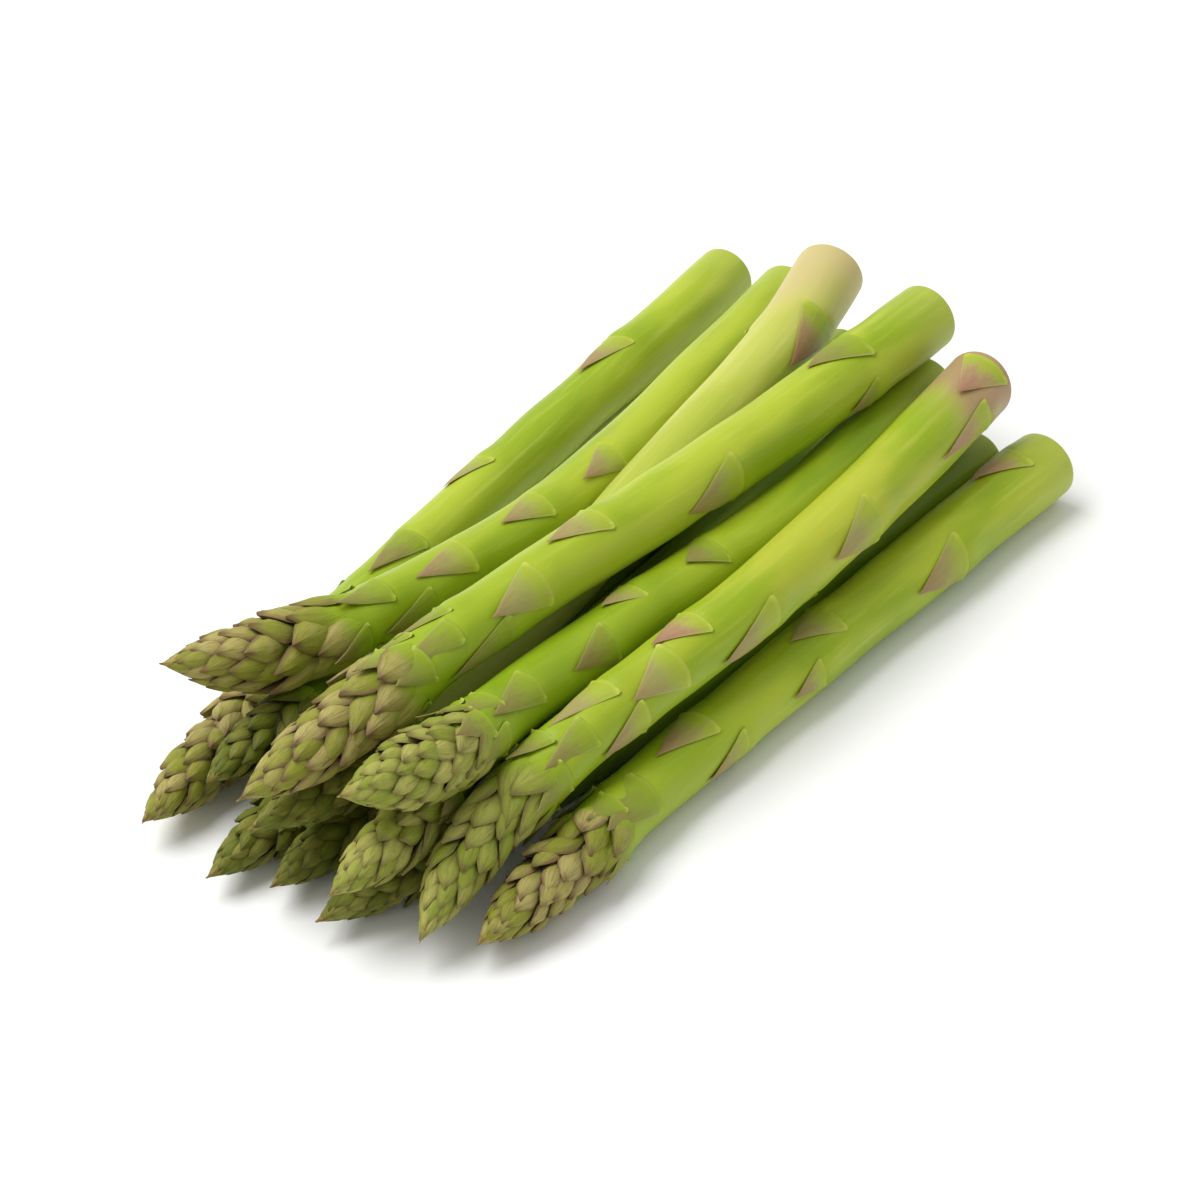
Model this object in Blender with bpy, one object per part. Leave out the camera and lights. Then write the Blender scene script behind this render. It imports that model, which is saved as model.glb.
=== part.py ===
"""A loose pile of freshly cut asparagus spears, lying flat.

Units are metres and +Z is up. The spears run along X: the pointed heads are at -X and the
cut butts at +X. The origin is at the centre of the underside of the pile, where it meets
the surface that it lies on. The layout rows below are in millimetres.

Each spear is a stalk, the closed head of packed scales on its end, and the separate scale
leaves that stand along the stalk.
"""

import math
from dataclasses import dataclass, field

import bmesh
import bpy
import numpy as np
from mathutils import Vector

MM = 0.001

# Shared proportions of every spear
SIDES = 12  # flats round a stalk or a head
STALK_RINGS = 17
STALK_ROUGHNESS = 0.42
HEAD_ROUGHNESS = 0.55
LEAF_ROUGHNESS = 0.6
SHARP_ANGLE = math.radians(50)
HEAD_RINGS = 11
HEAD_GAP = 0.3  # clear space between a head and the stalk that carries it
HEAD_WIDEST = 0.60  # share of the head's length, from the tip, where it is widest
HEAD_TIP_RADIUS = 0.5
HEAD_SHOULDER = 1.9  # a higher power fills the head out nearer its tip
HEAD_ROUNDNESS = 0.8
HEAD_CROWDING = 1.15  # a higher power packs the head's rings closer at its tip
SCALE_RELIEF = 0.045  # how far the head's scales stand out and dip, as a share of its radius
CUT_CHAMFER = 0.4  # softened edge of the cut butt
TANGENT_REACH = 1.5  # half the stretch of centre line that its direction is read over

# Shared proportions of the scale leaves on the stalks
LEAF_THICKNESS = 0.7
LEAF_GAP = 0.3  # clear space between a leaf and the stalk under it
LEAF_LIFT = 0.5  # how much further out the leaf's point stands than its base
LEAF_ARCH = 2.4  # how far the leaf's base corners sweep towards the head
LEAF_TAPER = 1.15  # a higher power keeps the leaf broad for longer
LEAF_POINT = 0.06  # width left at the leaf's point, as a share of its base
LEAF_ROWS = 5
LEAF_COLUMNS = 6

# Colours: linear red, green, blue
FRESH_GREEN = (0.30, 0.44, 0.05)
DEEP_GREEN = (0.20, 0.34, 0.04)
PALE_GREEN = (0.50, 0.52, 0.16)
OLIVE_HEAD = (0.19, 0.22, 0.06)
GREEN_HEAD = (0.21, 0.31, 0.06)
SHADED_HEAD = (0.13, 0.18, 0.05)
LEAF_TAN = (0.40, 0.34, 0.16)
LEAF_GREEN = (0.34, 0.40, 0.12)
LEAF_PURPLE = (0.34, 0.20, 0.14)


@dataclass(frozen=True)
class Leaf:
    """A scale leaf: how far its base is from the spear's tip, its turn about the stalk from
    straight up (positive towards -Y), and its size."""

    along: float
    turn: float
    length: float = 11.0
    width: float = 9.0
    colour: tuple = LEAF_TAN


@dataclass(frozen=True)
class Spear:
    """One spear: the points that its centre line passes through from tip to cut butt, its
    radii at the butt, below the head and at the head's widest place, and its head's length."""

    name: str
    path: tuple
    butt: float
    neck: float
    head: float
    head_length: float
    colour: tuple = FRESH_GREEN
    head_colour: tuple = OLIVE_HEAD
    leaves: tuple = field(default=())


SPEARS = (
    # On the surface, from the front (-Y) to the back
    Spear(
        "spear_01",
        path=(
            (-98.5, -50.5, 6.2), (-80, -49.5, 6.2), (-62, -48, 6.1), (-7, -46.5, 6.4),
            (42, -46.2, 6.7), (81, -46, 6.9),
        ),
        butt=6.9, neck=5.9, head=6.1, head_length=36,
        leaves=(
            Leaf(170, -20, 12, 12, LEAF_PURPLE),
            Leaf(142, 76, 14.5, 11.5, LEAF_TAN),
            Leaf(106.5, 0, 11, 10.5, LEAF_TAN),
            Leaf(73, 105, 11, 10, LEAF_TAN),
            Leaf(67.5, 0, 13.5, 9.5, LEAF_TAN),
            Leaf(46.5, 38, 14.5, 10.5, LEAF_GREEN),
        ),
    ),
    Spear(
        "spear_02",
        path=(
            (-110, -24.2, 5.4), (-98, -25.7, 5.1), (-60, -30.8, 4.8), (-20, -33.3, 4.9),
            (30, -33.3, 5.1), (78, -33.3, 5.2),
        ),
        butt=5.2, neck=4.7, head=5.1, head_length=32, colour=DEEP_GREEN, head_colour=SHADED_HEAD,
    ),
    Spear(
        "spear_03",
        path=(
            (-107.7, -11.7, 5.3), (-75, -11.3, 5.0), (-20, -11.3, 5.1), (20, -9.7, 5.2),
            (70, -6.5, 5.4),
        ),
        butt=5.4, neck=4.9, head=5.2, head_length=32, colour=DEEP_GREEN, head_colour=SHADED_HEAD,
    ),
    Spear(
        "spear_04",
        path=(
            (-112.5, -1.3, 5.4), (-78, 0, 5.2), (-20, 1.2, 5.5), (20, 2.6, 5.8),
            (60, 5.1, 6.1), (89, 6.7, 6.3),
        ),
        butt=6.3, neck=5.0, head=5.3, head_length=33, colour=DEEP_GREEN, head_colour=SHADED_HEAD,
    ),
    Spear(
        "spear_05",
        path=(
            (-109.5, 16.7, 7.0), (-85, 20.6, 6.2), (-59, 25.5, 5.6), (-18, 31.4, 5.7),
            (43, 38.3, 5.9), (98.5, 44, 6.1),
        ),
        butt=6.1, neck=5.4, head=6.1, head_length=40,
        leaves=(
            Leaf(170, -22, 14, 9, LEAF_TAN),
            Leaf(121, -40, 11, 10, LEAF_TAN),
            Leaf(92.5, 4, 14, 8.5, LEAF_GREEN),
        ),
    ),
    # In the second layer
    Spear(
        "spear_06",
        path=(
            (-100.5, 9.2, 14), (-88, 10.4, 13.6), (-60, 12.5, 10.4), (-20, 13.3, 6.3),
            (15, 14.3, 4.9), (46, 16, 4.9),
        ),
        butt=4.9, neck=4.3, head=5.0, head_length=30, colour=DEEP_GREEN, head_colour=SHADED_HEAD,
    ),
    Spear(
        "spear_07",
        path=(
            (-109, -9, 18), (-91, -11, 16.5), (-55, -10.7, 16.5), (-20, -7.4, 18.8),
            (20, -2.4, 22.3), (64, 3.2, 25.8), (84, 8, 28.3),
        ),
        butt=6.9, neck=5.0, head=5.3, head_length=33, colour=PALE_GREEN, head_colour=SHADED_HEAD,
        leaves=(
            Leaf(176.5, 60, 14.5, 11.5, LEAF_PURPLE),
        ),
    ),
    Spear(
        "spear_08",
        path=(
            (-113, -30, 16), (-98.5, -29, 16), (-70, -24.7, 13.5), (-40, -22.6, 8.8),
            (0, -22, 5.8), (52, -21, 5.3),
        ),
        butt=5.3, neck=4.7, head=5.4, head_length=32, colour=DEEP_GREEN, head_colour=GREEN_HEAD,
    ),
    Spear(
        "spear_09",
        path=(
            (-105, -43, 7.5), (-87, -38.9, 12.7), (-60, -38.5, 18.3), (-20, -41, 22),
            (25, -39.5, 23), (76, -33.5, 23),
        ),
        butt=6.9, neck=5.8, head=5.9, head_length=38, head_colour=GREEN_HEAD,
        leaves=(
            Leaf(181, 20, 12, 11, LEAF_PURPLE),
            Leaf(131, 74, 14.5, 12, LEAF_TAN),
            Leaf(97.5, 100, 15, 12, LEAF_TAN),
            Leaf(83, -8, 10.5, 10, LEAF_PURPLE),
            Leaf(73, 42, 12, 11, LEAF_TAN),
            Leaf(62, 92, 11.5, 9, LEAF_TAN),
            Leaf(59.5, -14, 13.5, 8.4, LEAF_TAN),
            Leaf(50, 38, 12, 7, LEAF_GREEN),
        ),
    ),
    # Along the top
    Spear(
        "spear_10",
        path=(
            (-104.5, -25.5, 30), (-90, -29.5, 28.5), (-62, -27, 23.3), (-28, -25.7, 20.6),
            (20, -26.8, 18.6), (78, -19.3, 15.7),
        ),
        butt=6.6, neck=5.7, head=7.0, head_length=28, head_colour=GREEN_HEAD,
        leaves=(
            Leaf(104, 6, 8, 10, LEAF_GREEN),
            Leaf(83.5, -14, 8.5, 8, LEAF_TAN),
            Leaf(70.5, 52, 12, 9, LEAF_GREEN),
            Leaf(47.5, 32, 15, 8.4, LEAF_GREEN),
            Leaf(34, 86, 10, 7, LEAF_GREEN),
        ),
    ),
    Spear(
        "spear_11",
        path=(
            (-113, -10.5, 27.5), (-96, -12, 28.5), (-64, -12.7, 30.3), (-11, -15.5, 30.5),
            (43, -17, 29.2), (81, -17.4, 29.5),
        ),
        butt=6.8, neck=6.0, head=6.7, head_length=38,
        leaves=(
            Leaf(170, -12, 13, 12.5, LEAF_GREEN),
            Leaf(168, 104, 8, 8, LEAF_TAN),
            Leaf(125.5, 86, 14.5, 12.5, LEAF_TAN),
            Leaf(93, -6, 12.5, 10, LEAF_TAN),
            Leaf(73, 45, 13.5, 10.4, LEAF_TAN),
            Leaf(62.5, 94, 16, 8.2, LEAF_GREEN),
            Leaf(51, 28, 15.5, 6.2, LEAF_GREEN),
            Leaf(54.5, -27, 11.5, 6, LEAF_GREEN),
        ),
    ),
    Spear(
        "spear_12",
        path=(
            (-95, 23.5, 30), (-78, 16.5, 25), (-48, 10.5, 21.7), (-8.5, 7.6, 19.8),
            (40, 13.8, 17), (92, 23.7, 13),
        ),
        butt=6.2, neck=5.6, head=7.1, head_length=38,
        leaves=(
            Leaf(110, 27, 11, 8, LEAF_TAN),
            Leaf(88, 12, 11, 8.5, LEAF_TAN),
            Leaf(66, 25, 12.5, 8.6, LEAF_TAN),
            Leaf(54.5, 92, 11.5, 9.5, LEAF_GREEN),
            Leaf(46.5, 9, 11.5, 7.4, LEAF_GREEN),
        ),
    ),
)


def natural_spline(points, count):
    """Evenly spaced points on the smooth curve through the given points, and its length."""
    knots = np.asarray(points, float)
    steps = np.linalg.norm(np.diff(knots, axis=0), axis=1)
    at = np.concatenate([[0.0], np.cumsum(steps)])
    size = len(at)
    matrix = np.eye(size)
    right = np.zeros((size, 3))
    for i in range(1, size - 1):
        matrix[i, i - 1 : i + 2] = steps[i - 1], 2 * (steps[i - 1] + steps[i]), steps[i]
        right[i] = 6 * ((knots[i + 1] - knots[i]) / steps[i] - (knots[i] - knots[i - 1]) / steps[i - 1])
    bend = np.linalg.solve(matrix, right)
    where = np.linspace(0.0, at[-1], count)
    k = np.clip(np.searchsorted(at, where, side="right") - 1, 0, size - 2)
    step = steps[k][:, None]
    before = (where - at[k])[:, None]
    after = (at[k + 1] - where)[:, None]
    curve = (
        (bend[k] * after**3 + bend[k + 1] * before**3) / (6 * step)
        + (knots[k] / step - bend[k] * step / 6) * after
        + (knots[k + 1] / step - bend[k + 1] * step / 6) * before
    )
    return curve, at[-1]


class CentreLine:
    """A spear's centre line, read by distance from its tip."""

    SAMPLES = 241

    def __init__(self, spear):
        self.spear = spear
        curve, _ = natural_spline(spear.path, self.SAMPLES)
        lengths = np.linalg.norm(np.diff(curve, axis=0), axis=1)
        self.curve = curve
        self.distance = np.concatenate([[0.0], np.cumsum(lengths)])
        self.length = float(self.distance[-1])

    def point(self, along):
        """The place on the centre line, which runs on straight past its ends."""
        inside = min(max(along, 0.0), self.length)
        place = Vector([np.interp(inside, self.distance, self.curve[:, axis]) for axis in range(3)])
        return place + self.tangent(inside) * (along - inside)

    def tangent(self, along):
        """The direction towards the butt."""
        low, high = max(along - TANGENT_REACH, 0.0), min(along + TANGENT_REACH, self.length)
        ends = [
            Vector([np.interp(at, self.distance, self.curve[:, axis]) for axis in range(3)])
            for at in (low, high)
        ]
        return (ends[1] - ends[0]).normalized()

    def outward(self, along, turn):
        """The unit direction away from the centre line, turned by this angle from straight up."""
        tangent = self.tangent(along)
        up = (Vector((0, 0, 1)) - tangent * tangent.z).normalized()
        side = tangent.cross(up)
        return up * math.cos(turn) + side * math.sin(turn)

    def on_surface(self, along, turn, radius):
        return self.point(along) + self.outward(along, turn) * radius

    def stalk_radius(self, along):
        """The stalk tapers evenly from the butt to the neck."""
        spear = self.spear
        share = (along - spear.head_length) / (self.length - spear.head_length)
        return spear.neck + (spear.butt - spear.neck) * min(max(share, 0.0), 1.0)

    def head_radius(self, along):
        """A bud: round at its shoulder, widest past the middle, drawn in to the neck."""
        spear = self.spear
        share = along / spear.head_length
        if share <= HEAD_WIDEST:
            rise = share / HEAD_WIDEST
            grown = (1 - (1 - rise) ** HEAD_SHOULDER) ** HEAD_ROUNDNESS
            return max(HEAD_TIP_RADIUS, spear.head * grown)
        fall = (share - HEAD_WIDEST) / (1 - HEAD_WIDEST)
        blend = fall * fall * (3 - 2 * fall)
        return spear.head + (spear.neck - spear.head) * blend


def principled(name, colour, roughness):
    material = bpy.data.materials.new(name)
    material.use_nodes = True
    shader = material.node_tree.nodes["Principled BSDF"]
    shader.inputs["Base Color"].default_value = (*colour, 1.0)
    shader.inputs["Roughness"].default_value = roughness
    shader.inputs["Metallic"].default_value = 0.0
    return material


def finish_object(mesh_data, name, parent, colour, roughness):
    """Turns a bmesh into a named object under its spear's empty."""
    mesh = bpy.data.meshes.new(name)
    mesh_data.to_mesh(mesh)
    mesh_data.free()
    mesh.materials.append(principled(name, colour, roughness))
    mesh.shade_smooth()
    mesh.set_sharp_from_angle(angle=SHARP_ANGLE)
    made = bpy.data.objects.new(name, mesh)
    bpy.context.scene.collection.objects.link(made)
    made.parent = parent
    return made


def ring(mesh_data, line, along, radius, start, relief=0.0, row=0):
    """One ring of corners about the centre line, in metres from the spear's own origin."""
    corners = []
    for side in range(SIDES):
        stand = radius * (1 + relief * (-1) ** (side + row))
        place = line.on_surface(along, 2 * math.pi * side / SIDES, stand)
        corners.append(mesh_data.verts.new((place - start) * MM))
    return corners


def bridge(mesh_data, first, second):
    for side in range(SIDES):
        after = (side + 1) % SIDES
        mesh_data.faces.new((first[side], first[after], second[after], second[side]))


def make_stalk(spear, line, parent, start):
    """The stalk, from just below the head to the softened edge of its cut butt."""
    mesh_data = bmesh.new()
    begin = spear.head_length + HEAD_GAP
    end = line.length
    stations = [begin + (end - CUT_CHAMFER - begin) * i / (STALK_RINGS - 1) for i in range(STALK_RINGS)]
    rings = [ring(mesh_data, line, at, line.stalk_radius(at), start) for at in stations]
    rings.append(ring(mesh_data, line, end, spear.butt - CUT_CHAMFER, start))
    for first, second in zip(rings, rings[1:]):
        bridge(mesh_data, first, second)
    mesh_data.faces.new(rings[0])
    mesh_data.faces.new(rings[-1])
    bmesh.ops.recalc_face_normals(mesh_data, faces=mesh_data.faces)
    return finish_object(mesh_data, f"{spear.name}_stalk", parent, spear.colour, STALK_ROUGHNESS)


def make_head(spear, line, parent, start):
    """The head: a closed bud whose corners stand out and dip in turn, as packed scales do."""
    mesh_data = bmesh.new()
    tip = mesh_data.verts.new((line.point(0.0) - start) * MM)
    rings = []
    for i in range(1, HEAD_RINGS + 1):
        share = (i / HEAD_RINGS) ** HEAD_CROWDING
        along = spear.head_length * share
        relief = SCALE_RELIEF * math.sin(math.pi * share)
        rings.append(ring(mesh_data, line, along, line.head_radius(along), start, relief, i))
    for side in range(SIDES):
        mesh_data.faces.new((tip, rings[0][side], rings[0][(side + 1) % SIDES]))
    for first, second in zip(rings, rings[1:]):
        bridge(mesh_data, first, second)
    mesh_data.faces.new(rings[-1])
    bmesh.ops.recalc_face_normals(mesh_data, faces=mesh_data.faces)
    return finish_object(mesh_data, f"{spear.name}_head", parent, spear.head_colour, HEAD_ROUGHNESS)


def make_leaf(spear, line, leaf, number, parent, start):
    """A thin three-cornered scale leaf wrapped on the stalk, its point towards the head.

    It is one sheet that Solidify thickens outwards, away from the stalk.
    """
    mesh_data = bmesh.new()
    rows = []
    for i in range(LEAF_ROWS + 1):
        share = i / LEAF_ROWS
        half_width = 0.5 * leaf.width * max(1 - share**LEAF_TAPER, LEAF_POINT)
        radius = line.stalk_radius(leaf.along) + LEAF_GAP + LEAF_LIFT * share
        row = []
        for j in range(LEAF_COLUMNS + 1):
            across = -1 + 2 * j / LEAF_COLUMNS
            along = leaf.along - leaf.length * share - LEAF_ARCH * across * across * (1 - share)
            turn = math.radians(leaf.turn) + across * half_width / radius
            place = line.on_surface(along, turn, radius)
            row.append(mesh_data.verts.new((place - start) * MM))
        rows.append(row)
    for lower, upper in zip(rows, rows[1:]):
        for j in range(LEAF_COLUMNS):
            mesh_data.faces.new((lower[j], lower[j + 1], upper[j + 1], upper[j]))
    outward = line.outward(leaf.along, math.radians(leaf.turn))
    mesh_data.normal_update()
    if sum((face.normal for face in mesh_data.faces), Vector()).dot(outward) < 0:
        bmesh.ops.reverse_faces(mesh_data, faces=mesh_data.faces)
    made = finish_object(mesh_data, f"{spear.name}_leaf_{number:02d}", parent, leaf.colour, LEAF_ROUGHNESS)
    solid = made.modifiers.new("Thickness", "SOLIDIFY")
    solid.thickness = LEAF_THICKNESS * MM
    solid.offset = 1.0
    return made


def make_spear(spear):
    """A spear's pieces, held by an empty at the centre of its cut butt."""
    line = CentreLine(spear)
    start = line.point(line.length)
    holder = bpy.data.objects.new(spear.name, None)
    holder.empty_display_size = 10 * MM
    holder.location = start * MM
    bpy.context.scene.collection.objects.link(holder)
    pieces = [make_stalk(spear, line, holder, start), make_head(spear, line, holder, start)]
    pieces += [make_leaf(spear, line, leaf, i, holder, start) for i, leaf in enumerate(spear.leaves, 1)]
    return holder, pieces


def main():
    for old in list(bpy.data.objects):
        bpy.data.objects.remove(old, do_unlink=True)
    spears = [make_spear(spear) for spear in SPEARS]
    bpy.context.view_layer.update()
    corners = np.array(
        [piece.matrix_world @ v.co for _, pieces in spears for piece in pieces for v in piece.data.vertices]
    )
    low, high = corners.min(axis=0), corners.max(axis=0)
    middle = Vector(((low[0] + high[0]) / 2, (low[1] + high[1]) / 2, low[2]))
    for holder, _ in spears:
        holder.location -= middle
    bpy.context.view_layer.update()


if __name__ == "__main__":
    main()
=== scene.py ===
"""The looks of a loose pile of fresh asparagus spears.

Each spear is dressed along its own centre line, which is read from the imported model: a waxy
skin, a fresh cut at the butt, scale leaves wrapped on the stalk, and a bud of overlapping
scales. Lengths are in metres and angles in radians, unless a name says otherwise. A turn
about a spear is counted from straight up, positive towards -Y.
"""

import logging
import math
from collections.abc import Mapping, Sequence
from dataclasses import dataclass, field
from enum import Enum
from typing import Any

import bpy
import numpy as np
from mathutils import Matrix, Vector

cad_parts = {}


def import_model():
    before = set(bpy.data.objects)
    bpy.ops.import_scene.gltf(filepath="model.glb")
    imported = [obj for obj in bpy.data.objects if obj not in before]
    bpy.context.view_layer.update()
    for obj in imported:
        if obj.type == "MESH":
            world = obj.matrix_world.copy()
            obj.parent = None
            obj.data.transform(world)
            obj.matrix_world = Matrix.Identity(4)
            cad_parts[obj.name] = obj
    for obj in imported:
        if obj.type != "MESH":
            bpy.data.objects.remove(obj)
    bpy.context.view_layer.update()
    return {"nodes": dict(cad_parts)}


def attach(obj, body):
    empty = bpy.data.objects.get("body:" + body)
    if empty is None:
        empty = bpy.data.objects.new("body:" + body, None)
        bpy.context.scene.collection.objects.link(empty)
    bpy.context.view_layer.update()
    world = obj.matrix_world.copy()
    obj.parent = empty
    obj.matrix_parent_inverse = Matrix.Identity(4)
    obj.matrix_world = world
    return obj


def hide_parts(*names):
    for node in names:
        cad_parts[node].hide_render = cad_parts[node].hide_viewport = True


LOG = logging.getLogger("asparagus")
MM = 0.001
SURFACE = 0.05 * MM  # the least height of a blade's corner
BODY = "root"
FULL_TURN = 2 * math.pi
GOLDEN_TURN = math.pi * (3 - math.sqrt(5))
SCATTER = (0.8, 1.0, 0.25)  # how far red, green and blue light spread under the surface

Colour = tuple[float, float, float]
Operand = Any


class SkinSlot(Enum):
    """The finishes for stalks, by their names in the imported model."""

    FRESH = "stalk_green"
    DEEP = "stalk_deep"
    PALE = "stalk_pale"


class BudSlot(Enum):
    """The finishes for heads, by their names in the imported model."""

    OLIVE = "head_olive"
    GREEN = "head_green"
    SHADED = "head_shaded"


class LeafSlot(Enum):
    """The finishes for the scale leaves on the stalks, by their names in the imported model."""

    TAN = "leaf_tan"
    GREEN = "leaf_green"
    PURPLE = "leaf_purple"


# --------------------------------------------------------------------------------------
# Node trees
# --------------------------------------------------------------------------------------


class Signal:
    """A node's output that sums can be written on."""

    def __init__(self, bench: "Bench", socket: bpy.types.NodeSocket) -> None:
        """Keeps the output and the bench that its sums are added with."""
        self.bench = bench
        self.socket = socket

    def apply(self, operation: str, *operands: Operand) -> "Signal":
        """Adds one Math node.

        Args:
            operation: The Math node's operation.
            *operands: Its inputs in order, as signals or numbers.

        Returns:
            The node's result.
        """
        return self.bench.make("ShaderNodeMath", {"operation": operation}, dict(enumerate(operands)))

    def __add__(self, other: Operand) -> "Signal":
        """Adds two values."""
        return self.apply("ADD", self, other)

    def __radd__(self, other: Operand) -> "Signal":
        """Adds two values."""
        return self.apply("ADD", other, self)

    def __sub__(self, other: Operand) -> "Signal":
        """Takes a value from this one."""
        return self.apply("SUBTRACT", self, other)

    def __rsub__(self, other: Operand) -> "Signal":
        """Takes this value from another."""
        return self.apply("SUBTRACT", other, self)

    def __mul__(self, other: Operand) -> "Signal":
        """Multiplies two values."""
        return self.apply("MULTIPLY", self, other)

    def __rmul__(self, other: Operand) -> "Signal":
        """Multiplies two values."""
        return self.apply("MULTIPLY", other, self)

    def __truediv__(self, other: Operand) -> "Signal":
        """Divides this value by another."""
        return self.apply("DIVIDE", self, other)

    def __pow__(self, other: Operand) -> "Signal":
        """Raises this value to a power."""
        return self.apply("POWER", self, other)

    def __abs__(self) -> "Signal":
        """The value without its sign."""
        return self.apply("ABSOLUTE", self)

    def at_least(self, other: Operand) -> "Signal":
        """The larger of two values."""
        return self.apply("MAXIMUM", self, other)

    def sine(self) -> "Signal":
        """The sine of this angle."""
        return self.apply("SINE", self)

    def cosine(self) -> "Signal":
        """The cosine of this angle."""
        return self.apply("COSINE", self)

    def step(self, low: float, high: float) -> "Signal":
        """Rises smoothly from 0 to 1.

        Args:
            low: Where it leaves 0.
            high: Where it reaches 1.

        Returns:
            The smooth step of this value.
        """
        settings = {"interpolation_type": "SMOOTHSTEP"}
        return self.bench.make(
            "ShaderNodeMapRange", settings, {"Value": self, "From Min": low, "From Max": high}
        )


class Bench:
    """Adds nodes to one tree, for a finish and for a shape alike."""

    def __init__(self, tree: bpy.types.NodeTree) -> None:
        """Works on this tree."""
        self.tree = tree

    @staticmethod
    def find(sockets: Any, key: str | int) -> bpy.types.NodeSocket:
        """Finds a socket by its place, or by its name among those in use."""
        if isinstance(key, int):
            return sockets[key]
        return next(socket for socket in sockets if socket.name == key and socket.enabled)

    def feed(self, socket: bpy.types.NodeSocket, value: Operand) -> None:
        """Links a signal to a socket, or sets the socket to a plain value."""
        if isinstance(value, Signal):
            self.tree.links.new(value.socket, socket)
        elif socket.type == "RGBA":
            socket.default_value = (*value, 1.0)
        else:
            socket.default_value = value

    def node(
        self,
        kind: str,
        settings: Mapping[str, Any] | None = None,
        inputs: Mapping[str | int, Operand] | None = None,
    ) -> bpy.types.Node:
        """Adds one node.

        Args:
            kind: The node's type.
            settings: Its own settings, which are set first.
            inputs: Values or signals for its sockets, by name or place.

        Returns:
            The node.
        """
        made = self.tree.nodes.new(kind)
        for name, value in (settings or {}).items():
            setattr(made, name, value)
        for key, value in (inputs or {}).items():
            self.feed(self.find(made.inputs, key), value)
        return made

    def make(
        self,
        kind: str,
        settings: Mapping[str, Any] | None = None,
        inputs: Mapping[str | int, Operand] | None = None,
        result: str | int = 0,
    ) -> Signal:
        """Adds one node and reads one of its outputs, by name or place."""
        return Signal(self, self.find(self.node(kind, settings, inputs).outputs, result))

    def vector(self, operation: str, *operands: Operand) -> Signal:
        """Adds a Vector Math node and returns its vector."""
        return self.make("ShaderNodeVectorMath", {"operation": operation}, dict(enumerate(operands)))

    def scaled(self, direction: Signal, size: Operand) -> Signal:
        """A vector made longer or shorter."""
        inputs = {"Vector": direction, "Scale": size}
        return self.make("ShaderNodeVectorMath", {"operation": "SCALE"}, inputs)

    def join(self, x: Operand, y: Operand, z: Operand) -> Signal:
        """Three values as one vector."""
        return self.make("ShaderNodeCombineXYZ", None, {0: x, 1: y, 2: z})

    def split(self, vector: Signal) -> tuple[Signal, Signal, Signal]:
        """A vector as three values."""
        outputs = self.node("ShaderNodeSeparateXYZ", None, {0: vector}).outputs
        return Signal(self, outputs[0]), Signal(self, outputs[1]), Signal(self, outputs[2])

    def noise(self, place: Signal, scale: float, detail: float = 2.0, roughness: float = 0.5) -> Signal:
        """A smooth random value, mostly between 0.3 and 0.7.

        Args:
            place: The vector that it is read at.
            scale: How many times it changes over one unit.
            detail: How many finer layers it has.
            roughness: How strong the finer layers are.

        Returns:
            The value.
        """
        inputs = {"Vector": place, "Scale": scale, "Detail": detail, "Roughness": roughness}
        return self.make("ShaderNodeTexNoise", None, inputs)

    def mix(self, share: Operand, first: Operand, second: Operand) -> Signal:
        """Blends two colours, from the first at 0 to the second at 1."""
        settings = {"data_type": "RGBA", "clamp_factor": True}
        return self.make("ShaderNodeMix", settings, {"Factor": share, "A": first, "B": second}, "Result")


# --------------------------------------------------------------------------------------
# Finishes
# --------------------------------------------------------------------------------------


class Paint(Bench):
    """The bench of one material's shader."""

    def __init__(self, name: str) -> None:
        """Starts a material with a bare Principled shader."""
        self.material = bpy.data.materials.new(name)
        self.material.use_nodes = True
        super().__init__(self.material.node_tree)
        self.shader = self.tree.nodes["Principled BSDF"]

    def attribute(self, name: str, result: str = "Fac") -> Signal:
        """Reads an attribute of the piece."""
        return self.make("ShaderNodeAttribute", {"attribute_name": name}, None, result)

    def bump(self, height: Signal, strength: float, depth: float) -> Signal:
        """Fine relief.

        Args:
            height: The relief's height, from 0 to 1.
            strength: How much of it shows.
            depth: How tall 1 is, in metres.

        Returns:
            The surface direction.
        """
        inputs = {"Strength": strength, "Distance": depth, "Height": height}
        return self.make("ShaderNodeBump", None, inputs)

    def finish(self, **inputs: Operand) -> bpy.types.Material:
        """Sets the shader's sockets, whose names are written with underscores.

        Args:
            **inputs: Values or signals.

        Returns:
            The finished material.
        """
        for name, value in inputs.items():
            self.feed(self.shader.inputs[name.replace("_", " ")], value)
        return self.material


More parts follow.
